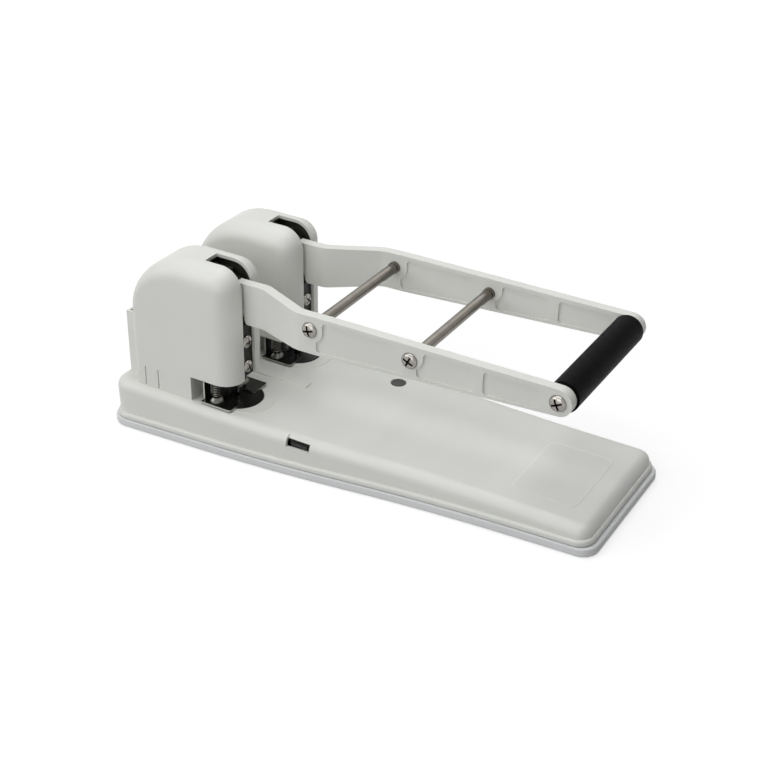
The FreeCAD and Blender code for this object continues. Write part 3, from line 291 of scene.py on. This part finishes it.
def verts_of(geometry):
    return [item for item in geometry if isinstance(item, bmesh.types.BMVert)]


def edges_of(geometry):
    return [item for item in geometry if isinstance(item, bmesh.types.BMEdge)]


def ride(piece, body, slot, *nodes):
    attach(piece, body)
    if nodes:
        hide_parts(*nodes)


def body_of(node):
    return frame["nodes"][node]["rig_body"]


def slot_of(node):
    return next(s["material_slot"] for s in frame["record"]["subparts"] if s["node"] == node)


# ---------------------------------------------------------------- what a user would change
class PunchSizes(bpy.types.PropertyGroup):
    clamp_wire: FloatProperty(
        name="Clamp spring wire", description="Wire thickness of the small springs on the studs",
        default=0.7 * MM, min=0.3 * MM, max=1.2 * MM, precision=4, unit="LENGTH")
    clamp_turns: IntProperty(
        name="Clamp spring turns", description="Open turns of each clamp spring",
        default=18, min=3, max=24)
    punch_wire: FloatProperty(
        name="Punch spring wire", description="Wire thickness of the springs round the punches",
        default=1.2 * MM, min=0.5 * MM, max=1.6 * MM, precision=4, unit="LENGTH")
    punch_turns: IntProperty(
        name="Punch spring turns", description="Open turns of each punch spring",
        default=5, min=3, max=10)
    grip_rib: FloatProperty(
        name="Grip rib pitch", description="Distance between the rings of the rubber sleeve",
        default=2.4 * MM, min=0.6 * MM, max=4.0 * MM, precision=4, unit="LENGTH")
    recess: FloatProperty(
        name="Cross recess width", description="Span of the cross recess across an arm screw",
        default=9.6 * MM, min=2.0 * MM, max=11.0 * MM, precision=4, unit="LENGTH")


class PunchColours(bpy.types.PropertyGroup):
    cover: FloatVectorProperty(
        name="Cover", description="Colour of the base's cover and the heads",
        subtype="COLOR", size=4, default=linear("#E0E1DC"), min=0.0, max=1.0)
    arm: FloatVectorProperty(
        name="Arms", description="Colour of the lever arms",
        subtype="COLOR", size=4, default=linear("#DFE0DB"), min=0.0, max=1.0)
    tray: FloatVectorProperty(
        name="Tray", description="Colour of the chip tray",
        subtype="COLOR", size=4, default=linear("#DFE0E1"), min=0.0, max=1.0)
    label: FloatVectorProperty(
        name="Label", description="Colour of the blank label",
        subtype="COLOR", size=4, default=linear("#DFE0DB"), min=0.0, max=1.0)
    # the label line is paler than the label: a painted highlight along the label's edge
    line: FloatVectorProperty(
        name="Label line", description="Colour of the line round the blank label",
        subtype="COLOR", size=4, default=linear("#EDEEE9"), min=0.0, max=1.0)


class PunchStage(bpy.types.PropertyGroup):
    floor: FloatVectorProperty(
        name="Floor", description="Colour of the floor",
        subtype="COLOR", size=3, default=(0.5, 0.5, 0.5), min=0.0, max=1.0)
    floor_white: FloatProperty(
        name="Floor white", description="White added near the object where the floor is looked at",
        default=0.62, min=0.0, max=1.0)
    sky: FloatProperty(
        name="Sky", description="Strength of the even light from all round",
        default=0.02, min=0.0, max=2.0)
    lamp: FloatProperty(
        name="Overhead lamp",
        description="Strength of the brightest lamp; the others keep their share of it",
        default=21.9, min=0.0, max=60.0, unit="POWER")


# ---------------------------------------------------------------- finishes
FINISHES = {}
OWN_FINISH = {"front_clamp": "clamp_strip", "rear_clamp": "clamp_strip",
              "front_frame": "frame_plate", "rear_frame": "frame_plate"}
# how quickly a metal's tool marks change along each axis
EVEN, LONG_X, LONG_Y, LONG_Z = (1, 1, 1), (0.05, 1, 1), (1, 0.05, 1), (1, 1, 0.06)
# the ends of the clamps' feet lie past this x, in millimetres from the middle of the whole punch
CLAMP_FOOT_END = -100.0


def finish_of(node):
    """The clamps are sheared strip and the frames phosphated; the rest have their slot's finish."""
    return FINISHES[OWN_FINISH.get(node, slot_of(node))]


def make_finishes(colours):
    cover, arm, tray = tuple(colours.cover), tuple(colours.arm), tuple(colours.tray)
    dark, black = linear("#1F201D"), linear("#0A0A0A")
    plated, drawn, wire = linear("#8C8D8C"), linear("#77736C"), linear("#7E7C77")
    nickel, chrome = linear("#989590"), linear("#6C6B66")
    FINISHES.update({
        # off-white, between satin and gloss; the tray is a little bluer and duller
        "cover_plastic": moulded_abs("abs_cover_moulded", cover, 0.9, 0.40),
        "arm_plastic": moulded_abs("abs_arm_moulded", arm, 0.8, 0.42),
        "tray_plastic": moulded_abs("abs_tray_moulded", tray, 1.0, 0.50),
        # black and nearly matt
        "dark_plastic": moulded_abs("abs_plug_dark", dark, 0.8, 0.60),
        "black_plastic": moulded_abs("abs_guide_black", black, 0.7, 0.55),
        "grip_rubber": sleeve_rubber("rubber_sleeve_extruded"),
        "black_steel": black_oxide("steel_black_oxide"),
        # a thin even zinc coat: satin, over the marks of the rolled sheet
        "zinc_steel": metal("steel_zinc_plated", plated, 0.36, LONG_Z, 0.5, 0.03),
        # pulled through a die: fine marks and a narrow highlight along the rod
        "bright_rod": metal("steel_drawn_rod", drawn, 0.22, LONG_Y, 0.35, 0.03),
        # tumbled, then nickel plated: bright and slightly warm, with hardly a mark
        "bright_screw": metal("steel_nickel_plated", nickel, 0.16, EVEN, 1.5, 0.01),
        # ground, then hard chromed: close to a mirror
        "polished_steel": metal("steel_polished_chrome", chrome, 0.10, LONG_X, 0.6, 0.008),
        "frame_plate": phosphated("steel_zinc_phosphated"),
        "clamp_strip": sheared_strip("steel_sheared_strip", CLAMP_FOOT_END),
        # wire as it leaves the coiler: grey, with a soft sheen
        "spring_steel": metal("steel_spring_wire", wire, 0.30, EVEN, 0.8, 0.02),
    })


class PUNCH_OT_finish_nodes(bpy.types.Operator):
    """Give every carried-over solid its finish"""
    bl_idname = "punch.finish_nodes"
    bl_label = "Finish the solids"

    def execute(self, context):
        make_finishes(context.scene.punch_colours)
        for name, item in frame["nodes"].items():
            for place in item.material_slots:
                place.material = finish_of(name)
        return {"FINISHED"}


# ---------------------------------------------------------------- springs
WIRE_SIDES = 8
STEPS_IN_A_TURN = 20


def wind(bm, radius, wire, foot, top, open_turns):
    """Round wire wound about z between two heights, with a closed turn at each end."""
    section = bmesh.ops.create_circle(bm, segments=WIRE_SIDES, radius=wire / 2)["verts"]
    bmesh.ops.rotate(bm, verts=section, cent=CENTRE,
                     matrix=Matrix.Rotation(QUARTER_TURN, 3, "X"))
    bmesh.ops.translate(bm, verts=section, vec=(radius - wire / 2, 0, foot + wire / 2))
    edges = bm.edges[:]
    bmesh.ops.contextual_create(bm, geom=edges)
    # the wire's own thickness and the two closed turns take three wires of the height
    open_pitch = (top - foot - 3 * wire) / open_turns
    for turns, pitch in ((1, wire), (open_turns, open_pitch), (1, wire)):
        made = bmesh.ops.spin(bm, geom=section + edges, cent=CENTRE, axis=(0, 0, 1),
                              dvec=(0, 0, pitch / STEPS_IN_A_TURN), angle=FULL_TURN * turns,
                              steps=STEPS_IN_A_TURN * turns)
        section, edges = verts_of(made["geom_last"]), edges_of(made["geom_last"])
    bmesh.ops.contextual_create(bm, geom=edges)


def add_spring(name, x, y, size, node):
    """A spring wound about an upright at x and y, in place of the given node; it is tied to no
    body.
    size is its radius, wire, foot, top and number of open turns."""
    bm = bmesh.new()
    wind(bm, *size)
    bmesh.ops.translate(bm, verts=bm.verts, vec=(x, y, 0))
    piece = make_piece(name, bm, FINISHES["spring_steel"])
    smooth(piece.data)
    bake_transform(piece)
    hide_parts(node)


class PUNCH_OT_clamp_springs(bpy.types.Operator):
    """Wind the small springs that press each clamp on the paper"""
    bl_idname = "punch.clamp_springs"
    bl_label = "Clamp springs"

    def execute(self, context):
        sizes = context.scene.punch_sizes
        stud_x, stud_y, radius = -9.2, 16.4, 3.0
        foot, top = 6.1, 35.7
        for head, middle in HEADS:
            for side, tag in ((-1, "near"), (1, "far")):
                add_spring("%s_%s_clamp_coil" % (head, tag), stud_x, middle + side * stud_y,
                           (radius, sizes.clamp_wire / MM, foot, top, sizes.clamp_turns),
                           head + "_clamp_springs")
        return {"FINISHED"}


class PUNCH_OT_punch_springs(bpy.types.Operator):
    """Wind the spring that lifts each punch"""
    bl_idname = "punch.punch_springs"
    bl_label = "Punch springs"

    def execute(self, context):
        sizes = context.scene.punch_sizes
        radius, foot, top = 5.0, 40.3, 62.4
        for head, middle in HEADS:
            add_spring(head + "_punch_coil", 0.0, middle,
                       (radius, sizes.punch_wire / MM, foot, top, sizes.punch_turns),
                       head + "_punch_spring")
        return {"FINISHED"}


# ---------------------------------------------------------------- screws
# a pan head's dome from its crown to its rim, as shares of its radius and height
PAN_DOME = ((0.0, 1.0), (0.35, 0.985), (0.62, 0.88), (0.84, 0.66), (0.96, 0.38), (1.0, 0.12),
            (0.985, 0.0))


def pan_head(bm, radius, height, shank, length, facets=40):
    """A pan-head screw on z: its seat at 0, a domed head above and its shank below."""
    profile = [(radius * out, height * up) for out, up in PAN_DOME]
    profile += [(shank, 0.0), (shank, -length), (0.0, -length)]
    verts = [bm.verts.new((r, 0, z)) for r, z in profile]
    edges = [bm.edges.new(pair) for pair in zip(verts, verts[1:])]
    bmesh.ops.spin(bm, geom=verts + edges, cent=CENTRE, axis=(0, 0, 1), angle=FULL_TURN,
                   steps=facets, use_merge=True)
    bmesh.ops.remove_doubles(bm, verts=bm.verts, dist=WELD)


def cross_recess(bm, span, height, depth):
    """The tapering cross that a driver fits, as a solid to be cut away: two wings across each other
    and a square core. Its faces take the second finish, black oxide: painted shade that darkens
    the recess where shade falls."""
    wing, core = (span, span * 0.16), (span * 0.27, span * 0.27)
    spare = depth * 0.2  # how far the solid stands above the crown
    taper = (0.6, 0.7, 1.0)
    for turn, (length, width) in ((0.0, wing), (QUARTER_TURN, wing), (QUARTER_TURN / 2, core)):
        made = bmesh.ops.create_cube(bm, size=1.0)["verts"]
        bmesh.ops.scale(bm, verts=made, vec=(length, width, depth + spare))
        bmesh.ops.scale(bm, verts=[vert for vert in made if vert.co.z < 0], vec=taper)
        bmesh.ops.rotate(bm, verts=made, cent=CENTRE, matrix=Matrix.Rotation(turn, 3, "Z"))
        bmesh.ops.translate(bm, verts=made, vec=(0, 0, height - (depth - spare) / 2))
    for face in bm.faces:
        # painted shade: the recess faces take the near-black second finish
        face.material_index = 1


def cut_away(target, tool):
    """The mesh of target less the space of tool; both are bmeshes and both are freed. Both get two
    material slots, because the result keeps only the material numbers that its meshes have."""
    objects = []
    for name, bm in (("cut_target", target), ("cut_tool", tool)):
        bmesh.ops.recalc_face_normals(bm, faces=bm.faces)
        mesh = bpy.data.meshes.new(name)
        bm.to_mesh(mesh)
        bm.free()
        for _ in range(2):
            mesh.materials.append(None)
        item = bpy.data.objects.new(name, mesh)
        bpy.context.scene.collection.objects.link(item)
        objects.append(item)
    change = objects[0].modifiers.new("cut", "BOOLEAN")
    change.object, change.operation, change.solver = objects[1], "DIFFERENCE", "EXACT"
    change.use_self = True
    bpy.context.view_layer.update()
    evaluated = objects[0].evaluated_get(bpy.context.evaluated_depsgraph_get())
    made = bpy.data.meshes.new_from_object(evaluated)
    for item in objects:
        mesh = item.data
        bpy.data.objects.remove(item)
        bpy.data.meshes.remove(mesh)
    return made


def screw_mesh(radius, height, shank, length, span):
    """A pan-head screw with a cross recess that goes down nearly to its seat."""
    head, cross = bmesh.new(), bmesh.new()
    pan_head(head, radius, height, shank, length)
    cross_recess(cross, span, height, depth=height * 0.78)
    return cut_away(head, cross)


def place_screws(name, mesh, places, node):
    """One piece that holds a copy of the screw at each place."""
    bm = bmesh.new()
    for place in places:
        before = set(bm.verts)
        bm.from_mesh(mesh)
        bmesh.ops.transform(bm, matrix=place, space=Matrix.Identity(4),
                            verts=[vert for vert in bm.verts if vert not in before])
    piece = make_piece(name, bm, finish_of(node))
    # the second finish, black oxide, is painted shade in the cross recesses
    piece.data.materials.append(FINISHES["black_steel"])
    soften(piece.data, crease=40.0)
    ride(piece, body_of(node), slot_of(node), node)


class PUNCH_OT_arm_screws(bpy.types.Operator):
    """Pan-head screws with cross recesses that clamp the rods and the grip between the arms"""
    bl_idname = "punch.arm_screws"
    bl_label = "Arm screws"

    def execute(self, context):
        mesh = screw_mesh(radius=6.0, height=3.0, shank=2.5, length=15.0,
                          span=context.scene.punch_sizes.recess / MM)
        places = []
        for side in (-1, 1):
            for number, (x, z) in enumerate(RODS + (GRIP,)):
                # each recess has come to rest at an angle of its own
                turn = Matrix.Rotation(math.radians(35 + 50 * number + 20 * side), 4, "Z")
                lay = Matrix.Rotation(-side * QUARTER_TURN, 4, "X")
                places.append(Matrix.Translation((x, side * ARM_FACE, z)) @ lay @ turn)
        place_screws("arm_screw_heads", mesh, places, "arm_screws")
        return {"FINISHED"}


class PUNCH_OT_plate_screws(bpy.types.Operator):
    """The screws that hold each slot plate to its guide block"""
    bl_idname = "punch.plate_screws"
    bl_label = "Slot plate screws"

    def execute(self, context):
        mesh = screw_mesh(radius=5.3, height=2.6, shank=2.0, length=2.2, span=7.6)
        plate_x, heights = 8.0, (28.7, 49.5)
        lay = Matrix.Rotation(QUARTER_TURN, 4, "Y")
        places = []
        for number, (head, middle) in enumerate(HEADS):
            for rank, height in enumerate(heights):
                turn = Matrix.Rotation(math.radians(20 + 45 * number + 70 * rank), 4, "Z")
                places.append(Matrix.Translation((plate_x, middle, height)) @ lay @ turn)
        place_screws("slot_plate_screw_heads", mesh, places, "slot_plate_screws")
        return {"FINISHED"}


# ---------------------------------------------------------------- cheeks inside the heads
def lines_side_wall(face, middle, wall_from=14.0, square_on=0.5):
    """Whether a head's face is at one of its sides and looks in towards its middle."""
    aside = face.calc_center_median().y - middle
    return abs(aside) >= wall_from and face.normal.y * aside <= -square_on * abs(aside)


class PUNCH_OT_head_cheeks(bpy.types.Operator):
    """Thin phosphated plates that line the side walls of each head, seen through its top slot"""
    bl_idname = "punch.head_cheeks"
    bl_label = "Head cheeks"

    def execute(self, context):
        gap, sheet = 0.3, 0.4
        # where the plates end at the back, at the front and below, and the way out of them there
        limits = (((-30, 0, 0), (-1, 0, 0)), ((9.5, 0, 0), (1, 0, 0)), ((0, 0, 62), (0, 0, -1)))
        for head, middle in HEADS:
            bm = bmesh.new()
            bm.from_mesh(frame["nodes"][head + "_head_cover"].data)
            bm.transform(BED.inverted())
            for spot, away in limits:
                bmesh.ops.bisect_plane(bm, geom=bm.verts[:] + bm.edges[:] + bm.faces[:],
                                       plane_co=spot, plane_no=away, clear_outer=True)
            others = [face for face in bm.faces if not lines_side_wall(face, middle)]
            bmesh.ops.delete(bm, geom=others, context="FACES")
            bm.normal_update()
            for vert in bm.verts:
                vert.co += vert.normal * (gap + sheet)
            bmesh.ops.solidify(bm, geom=bm.faces[:], thickness=sheet)
            piece = make_piece(head + "_cheeks", bm, FINISHES["frame_plate"])
            soften(piece.data, crease=40.0)
            ride(piece, "base", "black_steel")
        return {"FINISHED"}


# ---------------------------------------------------------------- grip
class PUNCH_OT_grip_sleeve(bpy.types.Operator):
    """Rubber sleeve with fine rings, rolled over at its ends"""
    bl_idname = "punch.grip_sleeve"
    bl_label = "Grip sleeve"

    def execute(self, context):
        pitch = context.scene.punch_sizes.grip_rib / MM
        radius, half, bore, depth, plain_ends, facets = 11.2, 54.3, 6.05, 0.12, 3.0, 72
        # the rolled end, as how far each point lies inside the radius and short of the end
        roll = ((radius - bore, 0.0), (0.9, 0.0), (0.25, 0.3), (0.0, 0.9))
        count = int((2 * half - plain_ends) / pitch)
        profile = [(radius - inside, short - half) for inside, short in roll]
        for number in range(count + 1):
            y = (number - count / 2) * pitch
            profile += [(radius, y - pitch * 0.25), (radius - depth, y)]
        profile += [(radius - inside, half - short) for inside, short in reversed(roll)]
        bm = bmesh.new()
        verts = [bm.verts.new((r, y, 0)) for r, y in profile]
        edges = [bm.edges.new(pair) for pair in zip(verts, verts[1:] + verts[:1])]
        bmesh.ops.spin(bm, geom=verts + edges, cent=CENTRE, axis=(0, 1, 0), angle=FULL_TURN,
                       steps=facets, use_merge=True)
        bmesh.ops.translate(bm, verts=bm.verts, vec=(GRIP[0], 0, GRIP[1]))
        piece = make_piece("grip_sleeve", bm, FINISHES["grip_rubber"])
        soften(piece.data, crease=50.0)
        ride(piece, "lever", "grip_rubber", "grip")
        return {"FINISHED"}


# ---------------------------------------------------------------- blank label
class PUNCH_OT_blank_label(bpy.types.Operator):
    """A bare label of thin film near the end of the bed, with a fine raised line round it that is
    painted paler: a painted highlight where the label's edge catches the light
    """
    bl_idname = "punch.blank_label"
    bl_label = "Blank label"

    def execute(self, context):
        colours = context.scene.punch_colours
        size, place, corner = (49.0, 68.0, 1.0), (251.0, -4.5, 0.26), 5.5
        line_width, line_rise, thickness = 0.8, 0.1, 0.3
        bm = bmesh.new()
        made = bmesh.ops.create_grid(bm, x_segments=1, y_segments=1, size=0.5)["verts"]
        bmesh.ops.scale(bm, verts=made, vec=size)
        bmesh.ops.translate(bm, verts=made, vec=place)
        bmesh.ops.bevel(bm, geom=bm.verts[:], offset=corner, segments=8, affect="VERTICES",
                        profile=0.5, material=-1)
        line = bmesh.ops.inset_region(bm, faces=bm.faces[:], thickness=line_width,
                                      depth=-line_rise, use_boundary=True,
                                      use_even_offset=True)["faces"]
        rim = [edge for edge in bm.edges if edge.is_boundary]
        sides = bmesh.ops.extrude_edge_only(bm, edges=rim)["geom"]
        bmesh.ops.translate(bm, vec=(0, 0, -thickness), verts=verts_of(sides))
        rim = [edge for edge in bm.edges if edge.is_boundary]
        bmesh.ops.contextual_create(bm, geom=rim)
        for face in line:
            face.material_index = 1
        # cast vinyl film: as pale as the cover and a little glossier, with a raised line round it
        # painted paler than the film, a painted highlight along the label's edge
        film = moulded_abs("vinyl_label_film", tuple(colours.label), 1.6, 0.34, 0.985)
        line_painted_highlight = moulded_abs("vinyl_label_line_painted_highlight", tuple(colours.line), 1.6, 0.40, 0.985)
        piece = make_piece("blank_label", bm, film)
        piece.data.materials.append(line_painted_highlight)
        ride(piece, "base", "cover_plastic")
        return {"FINISHED"}


# ---------------------------------------------------------------- stage
# each lamp's place and width in metres, and its share of the strongest lamp's power
LAMPS = (("overhead", (0.0, 0.0, 1.8), 1.8, 1.0), ("left", (-1.2, -1.3, 1.1), 1.4, 0.56),
         ("front", (0.2, -1.9, 0.8), 1.4, 0.51), ("back", (-0.2, 1.2, 1.5), 1.4, 0.26))
LAMPS_AIM = (0.0, 0.0, 0.05)
FLOOR_HALF = 6.0  # metres

# the camera stands in the bed's own frame and looks along its own angles there, in degrees
CAMERA_PLACE = (565.78, -801.6, 573.61)
CAMERA_AZIMUTH, CAMERA_ELEVATION, CAMERA_ROLL = 30.03, 30.73, 1.16
SENSOR = 36.0
LENS = SENSOR * 1461.85 / 768  # its focal length in an image 768 pixels wide is 1461.85 pixels


def seen_or_mirrored(tree):
    """1 for rays that look at the surround, straight on or in metal and glass; 0 for light."""
    path = add(tree, "ShaderNodeLightPath")
    mirrored = add(tree, "ShaderNodeMath", None,
                   {0: path.outputs["Is Glossy Ray"], 1: path.outputs["Is Transmission Ray"]},
                   operation="MAXIMUM")
    seen = add(tree, "ShaderNodeMath", None,
               {0: path.outputs["Is Camera Ray"], 1: mirrored.outputs["Value"]},
               operation="MAXIMUM")
    return seen.outputs["Value"]


def white_surround(name, colour, lift):
    """Floor paint: takes the shadow, and shows as clean white where no shadow falls. The white that
    is added grows from lift to 1 away from the object, where the lamps' light fades."""
    material, tree, place = start_material(name)
    paint = add(tree, "ShaderNodeBsdfDiffuse", {"Color": tuple(colour) + (1.0,)})
    away = add(tree, "ShaderNodeVectorMath", None, {0: place}, operation="LENGTH")
    white = add(tree, "ShaderNodeMapRange",
                {"From Min": 300.0, "From Max": 900.0, "To Min": lift, "To Max": 1.0},
                {"Value": away.outputs["Value"]})
    share = add(tree, "ShaderNodeMath", None,
                {0: seen_or_mirrored(tree), 1: white.outputs["Result"]}, operation="MULTIPLY")
    glow = add(tree, "ShaderNodeEmission", {"Color": grey(1.0)},
               {"Strength": share.outputs["Value"]})
    both = add(tree, "ShaderNodeAddShader", None,
               {0: paint.outputs["BSDF"], 1: glow.outputs["Emission"]})
    add(tree, "ShaderNodeOutputMaterial", None, {"Surface": both.outputs["Shader"]})
    return material


def add_floor(scene, values):
    bm = bmesh.new()
    bmesh.ops.create_grid(bm, x_segments=1, y_segments=1, size=FLOOR_HALF)
    mesh = bpy.data.meshes.new("floor")
    bm.to_mesh(mesh)
    bm.free()
    mesh.materials.append(white_surround("floor_paint", values.floor, values.floor_white))
    floor = bpy.data.objects.new("floor", mesh)
    scene.collection.objects.link(floor)


def add_sky(scene, values):
    world = bpy.data.worlds.new("studio")
    world.use_nodes = True
    tree = world.node_tree
    tree.nodes.clear()
    level = add(tree, "ShaderNodeMapRange", {"To Min": values.sky, "To Max": 1.0},
                {"Value": seen_or_mirrored(tree)})
    sky = add(tree, "ShaderNodeBackground", {"Color": grey(1.0)},
              {"Strength": level.outputs["Result"]})
    add(tree, "ShaderNodeOutputWorld", None, {"Surface": sky.outputs["Background"]})
    scene.world = world


def add_lamps(scene, values):
    for name, place, size, share in LAMPS:
        light = bpy.data.lights.new(name, "AREA")
        light.energy, light.size = values.lamp * share, size
        lamp = bpy.data.objects.new(name, light)
        lamp.location = place
        towards = Vector(LAMPS_AIM) - lamp.location
        lamp.rotation_euler = towards.to_track_quat("-Z", "Y").to_euler()
        scene.collection.objects.link(lamp)


def add_camera(scene):
    azimuth, elevation, roll = (
        math.radians(angle) for angle in (CAMERA_AZIMUTH, CAMERA_ELEVATION, CAMERA_ROLL))
    back = Vector((math.sin(azimuth) * math.cos(elevation),
                   -math.cos(azimuth) * math.cos(elevation), math.sin(elevation)))
    right = (-back).cross(Vector((0, 0, 1))).normalized()
    up = right.cross(-back)
    across = math.cos(roll) * right + math.sin(roll) * up
    upright = math.cos(roll) * up - math.sin(roll) * right
    turn = BED.to_quaternion().to_matrix() @ Matrix((across, upright, back)).transposed()
    data = bpy.data.cameras.new("camera")
    data.sensor_width, data.lens = SENSOR, LENS
    data.clip_start, data.clip_end = 0.01, 20.0
    camera = bpy.data.objects.new("camera", data)
    camera.matrix_world = Matrix.Translation(BED @ Vector(CAMERA_PLACE)) @ turn.to_4x4()
    scene.collection.objects.link(camera)
    scene.camera = camera


class PUNCH_OT_stage(bpy.types.Operator):
    """Pale floor, soft studio light and the camera"""
    bl_idname = "punch.stage"
    bl_label = "Stage"

    def execute(self, context):
        scene, values = context.scene, context.scene.punch_stage
        add_floor(scene, values)
        add_sky(scene, values)
        add_lamps(scene, values)
        add_camera(scene)
        scene.view_settings.view_transform = "Standard"
        return {"FINISHED"}


# ---------------------------------------------------------------- panel
STEPS = (PUNCH_OT_stage, PUNCH_OT_finish_nodes, PUNCH_OT_clamp_springs, PUNCH_OT_punch_springs,
         PUNCH_OT_arm_screws, PUNCH_OT_plate_screws, PUNCH_OT_head_cheeks, PUNCH_OT_grip_sleeve,
         PUNCH_OT_blank_label)


class PUNCH_PT_panel(bpy.types.Panel):
    """The punch's pieces, in the order they are made"""
    bl_idname = "PUNCH_PT_panel"
    bl_label = "Lever paper punch"
    bl_space_type = "VIEW_3D"
    bl_region_type = "UI"
    bl_category = "Punch"

    def draw(self, context):
        scene = context.scene
        for group in (scene.punch_sizes, scene.punch_colours, scene.punch_stage):
            column = self.layout.column()
            for name in group.bl_rna.properties.keys():
                if name not in {"rna_type", "name"}:
                    column.prop(group, name)
        for step in STEPS:
            self.layout.operator(step.bl_idname)


CLASSES = (PunchSizes, PunchColours, PunchStage) + STEPS + (PUNCH_PT_panel,)


def register():
    for item in CLASSES:
        bpy.utils.register_class(item)
    bpy.types.Scene.punch_sizes = PointerProperty(type=PunchSizes)
    bpy.types.Scene.punch_colours = PointerProperty(type=PunchColours)
    bpy.types.Scene.punch_stage = PointerProperty(type=PunchStage)


def unregister():
    del bpy.types.Scene.punch_sizes
    del bpy.types.Scene.punch_colours
    del bpy.types.Scene.punch_stage
    for item in reversed(CLASSES):
        bpy.utils.unregister_class(item)


def main():
    register()
    for step in STEPS:
        group, name = step.bl_idname.split(".")
        getattr(getattr(bpy.ops, group), name)()


if __name__ == "__main__":
    main()
